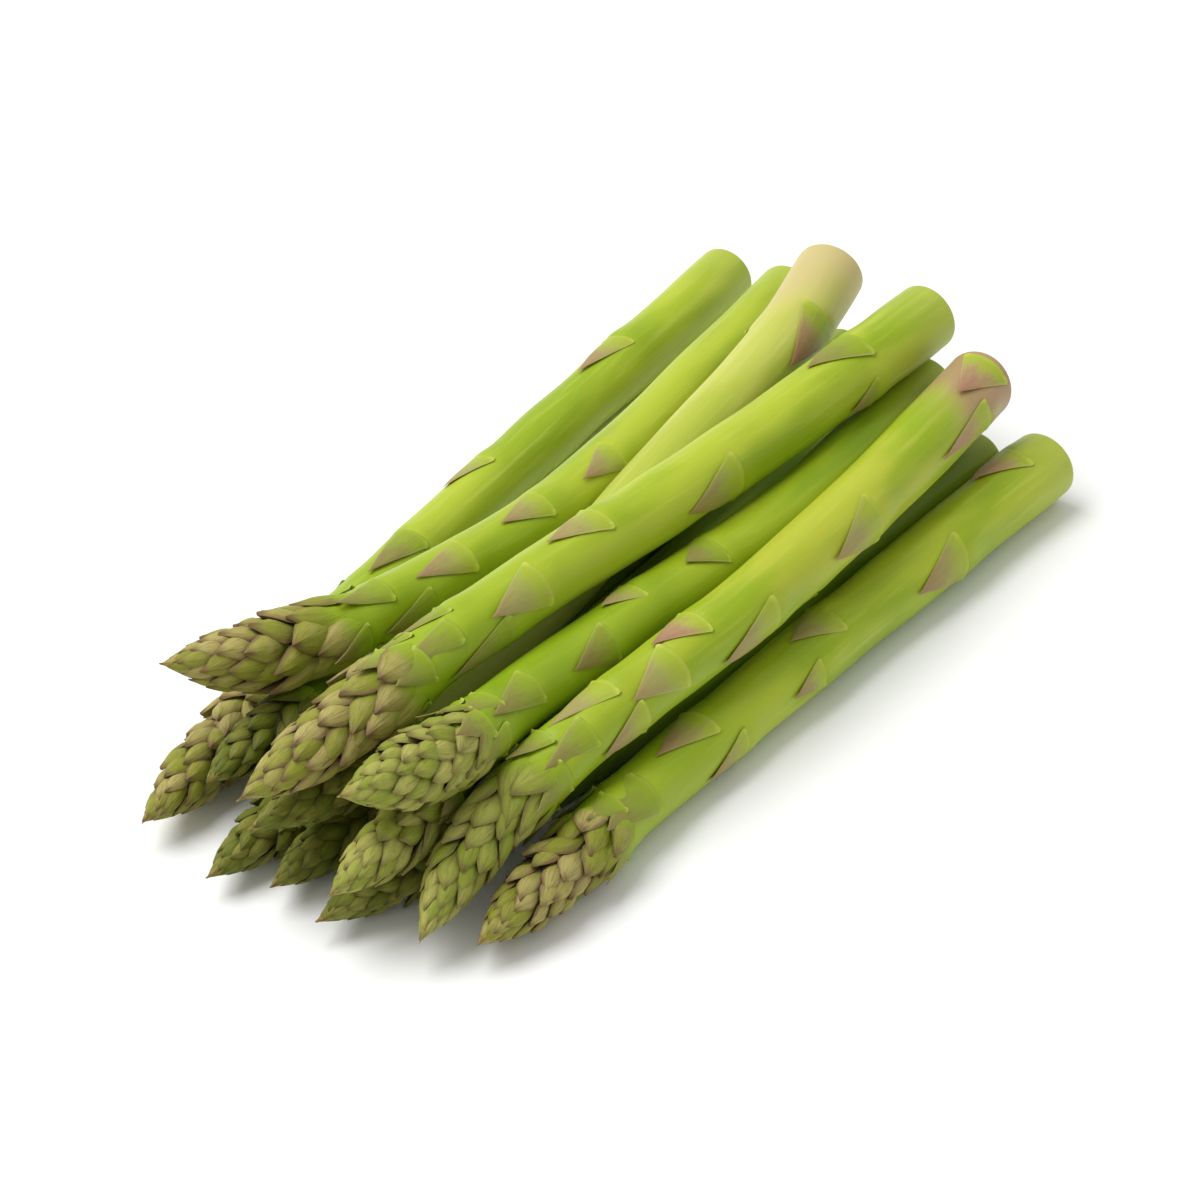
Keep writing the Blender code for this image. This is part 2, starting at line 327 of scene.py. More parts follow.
@dataclass(frozen=True)
class SkinFinish:
    """The waxy, finely ribbed skin of a stalk.

    It reads the piece's attributes grain, the place round and along the stalk in millimetres,
    and reach, which runs from 0 at the neck to 1 at the butt.
    """

    name: str
    body: Colour = (0.440, 0.530, 0.030)
    light: Colour = (0.580, 0.650, 0.110)
    deep: Colour = (0.290, 0.410, 0.008)
    butt: Colour = (0.440, 0.500, 0.090)
    butt_from: float = 0.86
    butt_amount: float = 0.55
    blush: Colour = (0.420, 0.260, 0.190)
    blush_from: float = 1.2

    def build(self) -> bpy.types.Material:
        """Builds the material."""
        paint = Paint(self.name)
        grain = paint.attribute("grain", "Vector")
        reach = paint.attribute("reach")
        stretched = paint.vector("MULTIPLY", grain, (1.0, 1.0, 0.045))
        broad = paint.noise(paint.vector("MULTIPLY", grain, (0.10, 0.10, 0.028)), 1.0, 2.0)
        streaks = paint.noise(stretched, 0.75, 4.0, 0.6)
        threads = paint.noise(stretched, 3.2, 2.0)
        pores = paint.noise(grain, 2.6, 3.0, 0.65)
        colour = paint.mix(broad.step(0.36, 0.62), self.deep, self.body)
        colour = paint.mix(streaks.step(0.48, 0.80) * 0.42, colour, self.light)
        colour = paint.mix(threads.step(0.50, 0.82) * 0.16, colour, self.deep)
        colour = paint.mix((1.0 - reach.step(0.02, 0.50)) * 0.68, colour, self.deep)
        near_butt = (reach + (streaks - 0.5) * 0.16).step(self.butt_from, 1.02)
        colour = paint.mix(near_butt * self.butt_amount, colour, self.butt)
        blush = (reach + (broad - 0.5) * 0.5).step(self.blush_from, self.blush_from + 0.12)
        colour = paint.mix(blush * 0.6, colour, self.blush)
        colour = paint.mix(pores.step(0.66, 0.74) * 0.16, colour, self.light)
        relief = threads * 0.5 + streaks * 0.7 + pores * 0.3
        return paint.finish(
            Base_Color=colour,
            Roughness=0.36 + streaks * 0.16 + pores.step(0.55, 0.75) * 0.08,
            Normal=paint.bump(relief, 0.26, 0.00020),
            Coat_Weight=0.05,
            Coat_Roughness=0.30,
            Subsurface_Weight=0.12,
            Subsurface_Radius=SCATTER,
            Subsurface_Scale=0.0012,
            Specular_IOR_Level=0.30,
        )


@dataclass(frozen=True)
class BudFinish:
    """The closely veined scales of a bud, with painted shade at the foot of each scale.

    It reads the piece's attributes blade, the place across and along one scale, tone, which
    differs from scale to scale, and age, from 0 at the bud's tip to 1 at its base.
    """

    name: str
    centre: Colour
    warm: Colour
    margin: Colour
    # base: the dark colour at the foot of each scale, where it lies under its neighbours, is painted shade
    base: Colour
    tip: Colour = (0.420, 0.270, 0.080)
    neck: Colour = (0.300, 0.410, 0.012)
    margin_amount: float = 0.85

    def build(self) -> bpy.types.Material:
        """Builds the material."""
        paint = Paint(self.name)
        across, along, _ = paint.split(paint.attribute("blade", "Vector"))
        tone, age = paint.attribute("tone"), paint.attribute("age")
        place = paint.join(across * 5.0, along * 1.1, tone * 37.0)
        veins = paint.noise(place, 1.6, 3.0, 0.6)
        mottle = paint.noise(paint.join(across * 1.6, along * 2.2, tone * 53.0), 1.7, 3.0, 0.6)
        grit = paint.noise(paint.make("ShaderNodeTexCoord", None, None, "Object"), 2600.0, 2.0)
        colour = paint.mix((tone * 0.9 + (mottle - 0.5) * 1.1).step(0.1, 0.9), self.centre, self.warm)
        # painted shade: darker towards the foot of each scale, under its neighbours
        colour = paint.mix((1.0 - along.step(0.10, 0.55)) * 0.55, colour, self.base)
        colour = paint.mix(veins.step(0.50, 0.68) * 0.45, colour, self.margin)
        rim = (abs(across) + (mottle - 0.5) * 0.5).step(0.62, 1.02).at_least(
            (along + (mottle - 0.5) * 0.35).step(0.74, 1.0)
        )
        colour = paint.mix(rim * self.margin_amount, colour, self.margin)
        colour = paint.mix((1.0 - (age + (mottle - 0.5) * 0.05).step(0.0, 0.10)) * 0.85, colour, self.tip)
        collar = age.step(0.70, 0.90) * (1.0 - (along + (mottle - 0.5) * 0.3).step(0.14, 0.60))
        colour = paint.mix(collar, colour, self.neck)
        relief = veins * 0.8 + grit * 0.25 + mottle * 0.4
        return paint.finish(
            Base_Color=colour,
            Roughness=0.48 + veins * 0.18 + grit * 0.08,
            Normal=paint.bump(relief, 0.60, 0.00035),
            Subsurface_Weight=0.08,
            Subsurface_Radius=SCATTER,
            Subsurface_Scale=0.0008,
            Specular_IOR_Level=0.30,
        )


@dataclass(frozen=True)
class LeafFinish:
    """A scale leaf on the stalk: a fresh raised rim at its base, a dry body and pale edges.

    It reads the same attributes as a bud's scales.
    """

    name: str
    body: Colour
    dark: Colour
    fresh: Colour = (0.370, 0.460, 0.030)
    rim: Colour = (0.540, 0.600, 0.075)
    edge: Colour = (0.590, 0.540, 0.230)
    dry_amount: float = 0.9

    def build(self) -> bpy.types.Material:
        """Builds the material."""
        paint = Paint(self.name)
        across, along, _ = paint.split(paint.attribute("blade", "Vector"))
        tone = paint.attribute("tone")
        veins = paint.noise(paint.join(across * 7.0, along * 0.9, tone * 29.0), 1.6, 3.0, 0.6)
        mottle = paint.noise(paint.join(across * 1.3, along * 2.0, tone * 71.0), 1.5, 3.0, 0.6)
        grit = paint.noise(paint.make("ShaderNodeTexCoord", None, None, "Object"), 2200.0, 2.0)
        dry = (along + (mottle - 0.5) * 0.45).step(0.06, 0.52) * self.dry_amount
        colour = paint.mix(dry, self.fresh, self.body)
        aged = (along * 0.75 + tone * 0.25 + (mottle - 0.5) * 0.8).step(0.25, 1.0)
        colour = paint.mix(aged, colour, self.dark)
        colour = paint.mix(veins.step(0.52, 0.70) * 0.30, colour, self.dark)
        line = (abs(across) + (grit - 0.5) * 0.08).step(0.90, 0.97) * (1.0 - along.step(0.80, 0.98))
        colour = paint.mix(line * 0.26, colour, self.edge)
        rim = 1.0 - (along + (mottle - 0.5) * 0.08).step(0.010, 0.085)
        corner = abs(across).step(0.62, 0.88)
        colour = paint.mix(rim * (0.28 + corner * 0.40), colour, self.rim)
        colour = paint.mix(1.0 - along.step(-0.12, -0.03), colour, self.fresh)
        relief = veins * 0.8 + grit * 0.2 + mottle * 0.3
        return paint.finish(
            Base_Color=colour,
            Roughness=0.42 + dry * 0.16 + veins * 0.10,
            Normal=paint.bump(relief, 0.35, 0.00025),
            Subsurface_Weight=0.10,
            Subsurface_Radius=SCATTER,
            Subsurface_Scale=0.0008,
            Specular_IOR_Level=0.30,
        )


@dataclass(frozen=True)
class CoreFinish:
    """The growth under a bud's scales, coloured nearly black: painted shade for the gaps between the scales.
    """

    name: str
    # painted shade: the near-black colour stands for the shade between the scales
    colour: Colour = (0.035, 0.045, 0.008)
    light: Colour = (0.080, 0.100, 0.016)

    def build(self) -> bpy.types.Material:
        """Builds the material."""
        paint = Paint(self.name)
        place = paint.make("ShaderNodeTexCoord", None, None, "Object")
        patches = paint.noise(place, 420.0, 4.0, 0.6)
        return paint.finish(
            Base_Color=paint.mix(patches.step(0.4, 0.7), self.colour, self.light),
            Roughness=0.55 + patches * 0.2,
            Normal=paint.bump(patches, 0.5, 0.0004),
        )


@dataclass(frozen=True)
class CutFinish:
    """The moist cut face: pale flesh dotted with fibres inside a green rind.

    It reads the piece's attribute ring, which runs from 0 at the middle to 1 at the skin, and
    face, the place on the cut in millimetres.
    """

    name: str
    flesh: Colour = (0.560, 0.600, 0.290)
    heart: Colour = (0.640, 0.650, 0.400)
    fibre: Colour = (0.330, 0.400, 0.120)
    rind: Colour = (0.300, 0.410, 0.080)
    dry: Colour = (0.560, 0.470, 0.300)

    def build(self) -> bpy.types.Material:
        """Builds the material."""
        paint = Paint(self.name)
        ring, face = paint.attribute("ring"), paint.attribute("face", "Vector")
        cells = paint.make("ShaderNodeTexVoronoi", None, {"Vector": face, "Scale": 0.85})
        fine = paint.noise(face, 2.4, 4.0, 0.65)
        broad = paint.noise(face, 0.30, 2.0)
        dots = (1.0 - (cells + (fine - 0.5) * 0.15).step(0.14, 0.26)) * (1.0 - ring.step(0.80, 0.90))
        colour = paint.mix((ring + (broad - 0.5) * 0.5).step(0.1, 0.75), self.heart, self.flesh)
        colour = paint.mix(fine.step(0.48, 0.70) * 0.25, colour, self.dry)
        colour = paint.mix(dots * 0.75, colour, self.fibre)
        colour = paint.mix((ring + (fine - 0.5) * 0.08).step(0.84, 0.97), colour, self.rind)
        relief = fine * 0.8 - dots * 0.5
        return paint.finish(
            Base_Color=colour,
            Roughness=0.34 + fine * 0.25,
            Normal=paint.bump(relief, 0.5, 0.00035),
            Subsurface_Weight=0.12,
            Subsurface_Radius=(1.0, 1.0, 0.5),
            Subsurface_Scale=0.0012,
        )


@dataclass(frozen=True)
class FloorFinish:
    """A plain, very pale matt surface."""

    name: str = "pale_floor"
    colour: Colour = (0.97, 0.97, 0.97)

    def build(self) -> bpy.types.Material:
        """Builds the material."""
        paint = Paint(self.name)
        return paint.finish(Base_Color=self.colour, Roughness=0.75, Specular_IOR_Level=0.2)


class Palette:
    """Builds each finish the first time that it is asked for."""

    def __init__(self) -> None:
        """Starts with nothing built."""
        self.made: dict[str, bpy.types.Material] = {}

    def get(self, finish: Any) -> bpy.types.Material:
        """The material of this finish."""
        if finish.name not in self.made:
            self.made[finish.name] = finish.build()
        return self.made[finish.name]


# Each base colour below is painted shade at the foot of the scales.
BUD_FINISHES = {
    BudSlot.OLIVE: BudFinish(
        "bud_olive",
        centre=(0.260, 0.275, 0.024),
        warm=(0.430, 0.365, 0.115),
        margin=(0.165, 0.085, 0.045),
        base=(0.110, 0.135, 0.008),
    ),
    BudSlot.GREEN: BudFinish(
        "bud_green",
        centre=(0.250, 0.300, 0.026),
        warm=(0.400, 0.390, 0.090),
        margin=(0.160, 0.105, 0.040),
        base=(0.110, 0.155, 0.008),
        margin_amount=0.7,
    ),
    BudSlot.SHADED: BudFinish(
        "bud_shaded",
        centre=(0.135, 0.160, 0.010),
        warm=(0.230, 0.230, 0.035),
        margin=(0.070, 0.060, 0.010),
        base=(0.080, 0.105, 0.005),
        margin_amount=0.7,
    ),
}
LEAF_FINISHES = {
    LeafSlot.TAN: LeafFinish("leaf_tan_dry", body=(0.360, 0.345, 0.105), dark=(0.350, 0.215, 0.110)),
    LeafSlot.GREEN: LeafFinish(
        "leaf_green_fresh",
        body=(0.255, 0.290, 0.045),
        dark=(0.260, 0.185, 0.065),
        fresh=(0.280, 0.375, 0.016),
        rim=(0.430, 0.520, 0.050),
        dry_amount=0.80,
    ),
    LeafSlot.PURPLE: LeafFinish(
        "leaf_purple_dry", body=(0.430, 0.285, 0.150), dark=(0.370, 0.180, 0.110)
    ),
}
SKIN_FINISHES = {
    SkinSlot.FRESH: SkinFinish("skin_fresh"),
    SkinSlot.DEEP: SkinFinish(
        "skin_deep", body=(0.230, 0.345, 0.008), light=(0.350, 0.450, 0.030), deep=(0.130, 0.230, 0.003)
    ),
    SkinSlot.PALE: SkinFinish(
        "skin_pale",
        body=(0.540, 0.570, 0.100),
        light=(0.660, 0.670, 0.210),
        deep=(0.430, 0.500, 0.050),
        butt=(0.600, 0.500, 0.200),
        butt_from=0.80,
        butt_amount=0.8,
        blush=(0.600, 0.480, 0.230),
        blush_from=0.90,
    ),
}


# --------------------------------------------------------------------------------------
# The centre line of a spear
# --------------------------------------------------------------------------------------


def wrapped(angle: Any) -> Any:
    """An angle, or an array of them, brought to between half a turn back and half a turn on."""
    return (angle + math.pi) % FULL_TURN - math.pi


def columns_at(where: np.ndarray, at: np.ndarray, rows: np.ndarray) -> np.ndarray:
    """Reads rows of x, y and z between the places that they are known at.

    Args:
        where: The places to read.
        at: The places of the known rows.
        rows: The known rows.

    Returns:
        A row for each place.
    """
    return np.stack([np.interp(where, at, rows[:, axis]) for axis in range(3)], axis=1)


def corners_of(node: bpy.types.Object) -> np.ndarray:
    """Reads a CAD node's triangles.

    Args:
        node: The node's object.

    Returns:
        An array of triangles, of their three corners, of x, y and z.
    """
    mesh = node.data
    mesh.calc_loop_triangles()
    places = np.empty(len(mesh.vertices) * 3, np.float32)
    mesh.vertices.foreach_get("co", places)
    order = np.empty(len(mesh.loop_triangles) * 3, np.int32)
    mesh.loop_triangles.foreach_get("vertices", order)
    return places.reshape(-1, 3).astype(float)[order.reshape(-1, 3)]


def slice_of(faces: np.ndarray, at: np.ndarray, towards: np.ndarray) -> tuple[np.ndarray, float]:
    """Cuts a closed solid with a plane.

    Args:
        faces: The solid's triangles.
        at: A point of the plane.
        towards: The plane's direction.

    Returns:
        The middle of the cut's outline and the outline's length.
    """
    heights = (faces - at) @ towards
    after = np.roll(heights, -1, axis=1)
    crossing = heights * after < 0
    share = heights / np.where(crossing, heights - after, 1.0)
    places = faces + share[..., None] * (np.roll(faces, -1, axis=1) - faces)
    whole = crossing.sum(axis=1) == 2
    ends = places[whole][crossing[whole]].reshape(-1, 2, 3)
    lengths = np.linalg.norm(ends[:, 1] - ends[:, 0], axis=1)
    return (ends.mean(axis=1) * lengths[:, None]).sum(axis=0) / lengths.sum(), float(lengths.sum())


def smoothed(values: np.ndarray, width: float) -> np.ndarray:
    """Smooths evenly spaced rows and keeps both end rows where they are.

    Args:
        values: The rows.
        width: The spread of the smoothing, in rows.

    Returns:
        The smoothed rows.
    """
    reach = min(int(3 * width) + 1, len(values) - 1)
    before = 2 * values[0] - values[reach:0:-1]
    after = 2 * values[-1] - values[-2 : -reach - 2 : -1]
    padded = np.concatenate([before, values, after])
    weights = np.exp(-0.5 * (np.arange(-reach, reach + 1) / width) ** 2)
    weights /= weights.sum()
    return np.stack([np.convolve(column, weights, "valid") for column in padded.T], axis=1)


@dataclass
class CentreLine:
    """A spear's centre line and girth, read from its packed stalk and head.

    Attributes:
        places: Evenly spaced points, from the tip to the butt.
        along: Each point's distance from the tip.
        girth: The spear's radius at each point.
        head: The length of the head.
    """

    places: np.ndarray
    along: np.ndarray
    girth: np.ndarray
    head: float

    SPACING = 0.5 * MM
    STATION = 3.0 * MM
    TIP_MARGIN = 1.2 * MM
    NECK_MARGIN = 3.0 * MM
    STALK_MARGIN = 4.0 * MM
    TIP_RADIUS = 0.25 * MM
    LINE_SMOOTHING = 2.5 * MM
    GIRTH_SMOOTHING = 1.0 * MM
    UNDER_NECK = 1.5 * MM
    FLATS = 12

    @classmethod
    def measure(cls, stalk: bpy.types.Object, head: bpy.types.Object) -> "CentreLine":
        """Finds the line through a spear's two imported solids.

        Args:
            stalk: The stalk's node.
            head: The head's node.

        Returns:
            The centre line, from the tip of the head to the cut butt.
        """
        head_line, head_girth = cls._follow(corners_of(head), cls.TIP_MARGIN, cls.NECK_MARGIN)
        stalk_line, stalk_girth = cls._follow(corners_of(stalk), cls.STALK_MARGIN, cls.STALK_MARGIN)
        neck = float(np.linalg.norm(head_line[-1] - head_line[-2]))
        line = np.concatenate([head_line[:-1], stalk_line[1:]])
        girth = np.concatenate([head_girth[:-1], stalk_girth[1:]])
        girth[0] = cls.TIP_RADIUS
        steps = np.linalg.norm(np.diff(line, axis=0), axis=1)
        at = np.concatenate([[0.0], np.cumsum(steps)])
        head_length = float(at[len(head_line) - 2]) + neck
        even = np.linspace(0.0, at[-1], int(at[-1] / cls.SPACING) + 1)
        rows = smoothed(columns_at(even, at, line), cls.LINE_SMOOTHING / cls.SPACING)
        widths = smoothed(np.interp(even, at, girth)[:, None], cls.GIRTH_SMOOTHING / cls.SPACING)[:, 0]
        steps = np.linalg.norm(np.diff(rows, axis=0), axis=1)
        return cls(rows, np.concatenate([[0.0], np.cumsum(steps)]), widths, head_length)

    @classmethod
    def _follow(cls, faces: np.ndarray, start: float, end: float) -> tuple[np.ndarray, np.ndarray]:
        """Follows one long solid from its end at -X to its end at +X.

        Args:
            faces: The solid's triangles.
            start: How far inside its first end the first cut is.
            end: How far inside its last end the last cut is.

        Returns:
            Points down its middle, with both ends, and its radius at each.
        """
        corners = faces.reshape(-1, 3)
        axis = np.linalg.svd(corners - corners.mean(axis=0), full_matrices=False)[2][0]
        axis *= np.sign(axis[0])
        reach = (corners - corners.mean(axis=0)) @ axis
        low, high = reach.min() + start, reach.max() - end
        count = max(int((high - low) / cls.STATION), 4)
        line = corners.mean(axis=0) + np.linspace(low, high, count)[:, None] * axis
        towards = np.tile(axis, (count, 1))
        for _ in range(3):
            cuts = [slice_of(faces, at, way) for at, way in zip(line, towards)]
            line = np.array([cut[0] for cut in cuts])
            towards = np.gradient(line, axis=0)
            towards /= np.linalg.norm(towards, axis=1)[:, None]
        outline = 2 * cls.FLATS * math.sin(math.pi / cls.FLATS)
        girth = np.array([cut[1] for cut in cuts]) / outline
        first = line[0] + towards[0] * ((corners - line[0]) @ towards[0]).min()
        last = line[-1] + towards[-1] * ((corners - line[-1]) @ towards[-1]).max()
        line = np.concatenate([[first], line, [last]])
        return line, np.concatenate([girth[:1], girth, girth[-1:]])

    @property
    def length(self) -> float:
        """The spear's length along its line."""
        return float(self.along[-1])

    def point(self, along: np.ndarray | float) -> np.ndarray:
        """Points of the line, which runs on straight past its ends."""
        along = np.atleast_1d(along)
        inside = np.clip(along, 0.0, self.length)
        rows = columns_at(inside, self.along, self.places)
        return rows + self.tangent(inside) * (along - inside)[:, None]

    def tangent(self, along: np.ndarray | float) -> np.ndarray:
        """Unit directions towards the butt."""
        ways = np.gradient(self.places, axis=0)
        rows = columns_at(np.atleast_1d(along), self.along, ways)
        return rows / np.linalg.norm(rows, axis=1)[:, None]

    def outward(self, along: np.ndarray, turn: np.ndarray) -> np.ndarray:
        """Unit directions away from the line, at these turns from straight up."""
        tangent = self.tangent(along)
        side = np.cross(tangent, (0.0, 0.0, 1.0))
        side /= np.linalg.norm(side, axis=1)[:, None]
        up = np.cross(side, tangent)
        return up * np.cos(turn)[:, None] + side * np.sin(turn)[:, None]

    def radius(self, along: np.ndarray | float) -> np.ndarray:
        """The spear's radius at these distances from the tip."""
        return np.interp(np.atleast_1d(along), self.along, self.girth)

    def stalk_radius(self, along: np.ndarray | float) -> np.ndarray:
        """The stalk's radius, which runs on under the head at the neck's size."""
        return self.radius(np.maximum(np.atleast_1d(along), self.head + self.UNDER_NECK))

    def locate(self, places: np.ndarray) -> tuple[np.ndarray, np.ndarray]:
        """Finds points by their distance from the tip and their turn about the line.

        Args:
            places: The points.

        Returns:
            The distances and the turns.
        """
        gaps = np.linalg.norm(places[:, None] - self.places[None], axis=2)
        near = self.along[gaps.argmin(axis=1)]
        near = near + ((places - self.point(near)) * self.tangent(near)).sum(axis=1)
        away = places - self.point(near)
        up = (away * self.outward(near, np.zeros(len(near)))).sum(axis=1)
        side = (away * self.outward(near, np.full(len(near), math.pi / 2))).sum(axis=1)
        return near, np.arctan2(side, up)


# --------------------------------------------------------------------------------------
# Meshes
# --------------------------------------------------------------------------------------


def mesh_from(
    name: str,
    places: np.ndarray,
    faces: Sequence[Sequence[int]],
    attributes: Mapping[str, np.ndarray] | None = None,
) -> bpy.types.Mesh:
    """Makes a mesh.

    Args:
        name: Its name.
        places: Its corners.
        faces: Its faces, as runs of corner numbers.
        attributes: Values or vectors for its corners, by name.

    Returns:
        The mesh.
    """
    mesh = bpy.data.meshes.new(name)
    mesh.from_pydata([tuple(place) for place in places], [], [list(face) for face in faces])
    for key, values in (attributes or {}).items():
        flat = np.asarray(values, np.float32)
        kind, field_name = ("FLOAT_VECTOR", "vector") if flat.ndim == 2 else ("FLOAT", "value")
        layer = mesh.attributes.new(key, kind, "POINT")
        layer.data.foreach_set(field_name, flat.ravel())
    mesh.update()
    return mesh


def tube_faces(rows: int, columns: int, closed_start: bool, closed_end: bool) -> list[list[int]]:
    """Faces of a tube of rings, which look outwards where the rings turn against the sun.

    Args:
        rows: The number of rings.
        columns: The corners of each ring.
        closed_start: Whether the first ring is filled.
        closed_end: Whether the last ring is filled.

    Returns:
        The faces.
    """
    faces = []
    for row in range(rows - 1):
        here, there = row * columns, (row + 1) * columns
        for column in range(columns):
            after = (column + 1) % columns
            faces.append([here + column, here + after, there + after, there + column])
    if closed_start:
        faces.append(list(range(columns - 1, -1, -1)))
    if closed_end:
        faces.append(list(range((rows - 1) * columns, rows * columns)))
    return faces


def add_object(name: str, mesh: bpy.types.Mesh, material: bpy.types.Material | None) -> bpy.types.Object:
    """Puts a smooth mesh in the scene, at the origin, with one material."""
    made = bpy.data.objects.new(name, mesh)
    bpy.context.scene.collection.objects.link(made)
    if material is not None:
        mesh.materials.append(material)
    mesh.shade_smooth()
    return made


@dataclass(frozen=True)
class Blade:
    """The shape of one scale or leaf, one unit wide, long and high.

    It lies along +Y from its base to its point, and stands up along +Z. Its corners carry the
    attribute blade: from -1 to 1 across, and from 0 at the base to 1 at the point.
    """

    rows: tuple[float, ...]
    columns: int
    widest: float
    base_width: float
    taper: float
    arch: float
    point_width: float
    arch_power: float = 2.0

    def half_width(self, along: float) -> float:
        """Half of the blade's width, as a share of its greatest."""
        if along < self.widest:
            share = max(along, 0.0) / self.widest
            return self.base_width + (1 - self.base_width) * math.sin(share * math.pi / 2)
        share = (along - self.widest) / (1 - self.widest)
        return max(1 - share**self.taper, self.point_width)

    def height(self, across: float, along: float) -> float:
        """The height of the blade's face."""
        raise NotImplementedError

    def build(self, name: str) -> bpy.types.Object:
        """Makes the closed blade as a helper object.

        Args:
            name: The helper's name.

        Returns:
            The helper, which isn't in the scene.
        """
        places, blade = [], []
        for along in self.rows:
            for column in range(self.columns + 1):
                across = -1 + 2 * column / self.columns
                sweep = self.arch * abs(across) ** self.arch_power * (1 - max(along, 0.0))
                half = 0.5 * across * self.half_width(along)
                places.append((half, along + sweep, self.height(across, along)))
                blade.append((across, along, 0.0))
        wide, last = self.columns + 1, len(self.rows) - 1
        faces = []
        for row in range(last):
            left, right = row * wide, row * wide + self.columns
            for column in range(self.columns):
                corner = left + column
                faces.append([corner, corner + 1, corner + 1 + wide, corner + wide])
            faces.append([left, left + wide, right + wide, right])
        faces.append(list(range(wide - 1, -1, -1)))
        faces.append(list(range(last * wide, last * wide + wide)))
        mesh = mesh_from(name, np.array(places), faces, {"blade": np.array(blade)})
        mesh.shade_smooth()
        mesh.set_sharp_from_angle(angle=math.radians(62))
        return bpy.data.objects.new(name, mesh)


@dataclass(frozen=True)
class BudBlade(Blade):
    """A plump scale of a bud: round at its base, pointed and lifted at its tip."""

    rows: tuple[float, ...] = (0.0, 0.05, 0.14, 0.27, 0.42, 0.57, 0.71, 0.84, 0.94, 1.0)
    columns: int = 6
    widest: float = 0.44
    base_width: float = 0.72
    taper: float = 1.42
    arch: float = 0.05
    point_width: float = 0.035
    swell: float = 0.52
    lift: float = 0.62

    def height(self, across: float, along: float) -> float:
        """The height of the scale's face."""
        rise = min(along / 0.62, 1.0)
        belly = math.sin(rise * math.pi / 2) ** 1.5 * (1 - 0.62 * max(along - 0.62, 0.0) / 0.38)
        crown = (1 - abs(across) ** 2.6) * self.swell * belly
        keel = 0.07 * (1 - abs(across)) ** 3 * belly
        curl = 0.10 * max(along - 0.80, 0.0) / 0.20
        return self.lift * along**1.15 + crown + keel + curl - 0.05 * abs(across) + 0.02


@dataclass(frozen=True)
class StalkBlade(Blade):
    """A flat three-cornered leaf: a raised rim with a knob at each corner, and a thin body."""

    rows: tuple[float, ...] = (
        -0.10, -0.055, -0.025, 0.0, 0.03, 0.06, 0.10, 0.16, 0.25, 0.36, 0.48, 0.60, 0.72, 0.83, 0.92, 1.0,
    )
    columns: int = 14
    widest: float = 0.02
    base_width: float = 0.96
    taper: float = 1.0
    arch: float = 0.03
    point_width: float = 0.03
    arch_power: float = 1.7

    def height(self, across: float, along: float) -> float:
        """The height of the leaf's face."""
        stations = (-0.10, -0.055, -0.025, 0.0, 0.03, 0.06, 0.10, 0.20, 0.50, 0.80, 1.0)
        heights = (-0.35, 0.00, 0.24, 0.33, 0.32, 0.30, 0.28, 0.27, 0.29, 0.33, 0.38)
        middle = float(np.interp(along, stations, heights))
        knob = 0.36 * math.exp(-(((abs(across) - 0.92) / 0.09) ** 2) - ((along - 0.005) / 0.035) ** 2)
        droop = 0.17 * across**4 * (1 - 0.5 * max(along, 0.0))
        return middle + knob - droop


# --------------------------------------------------------------------------------------
# Shapes that repeat along a spear
# --------------------------------------------------------------------------------------


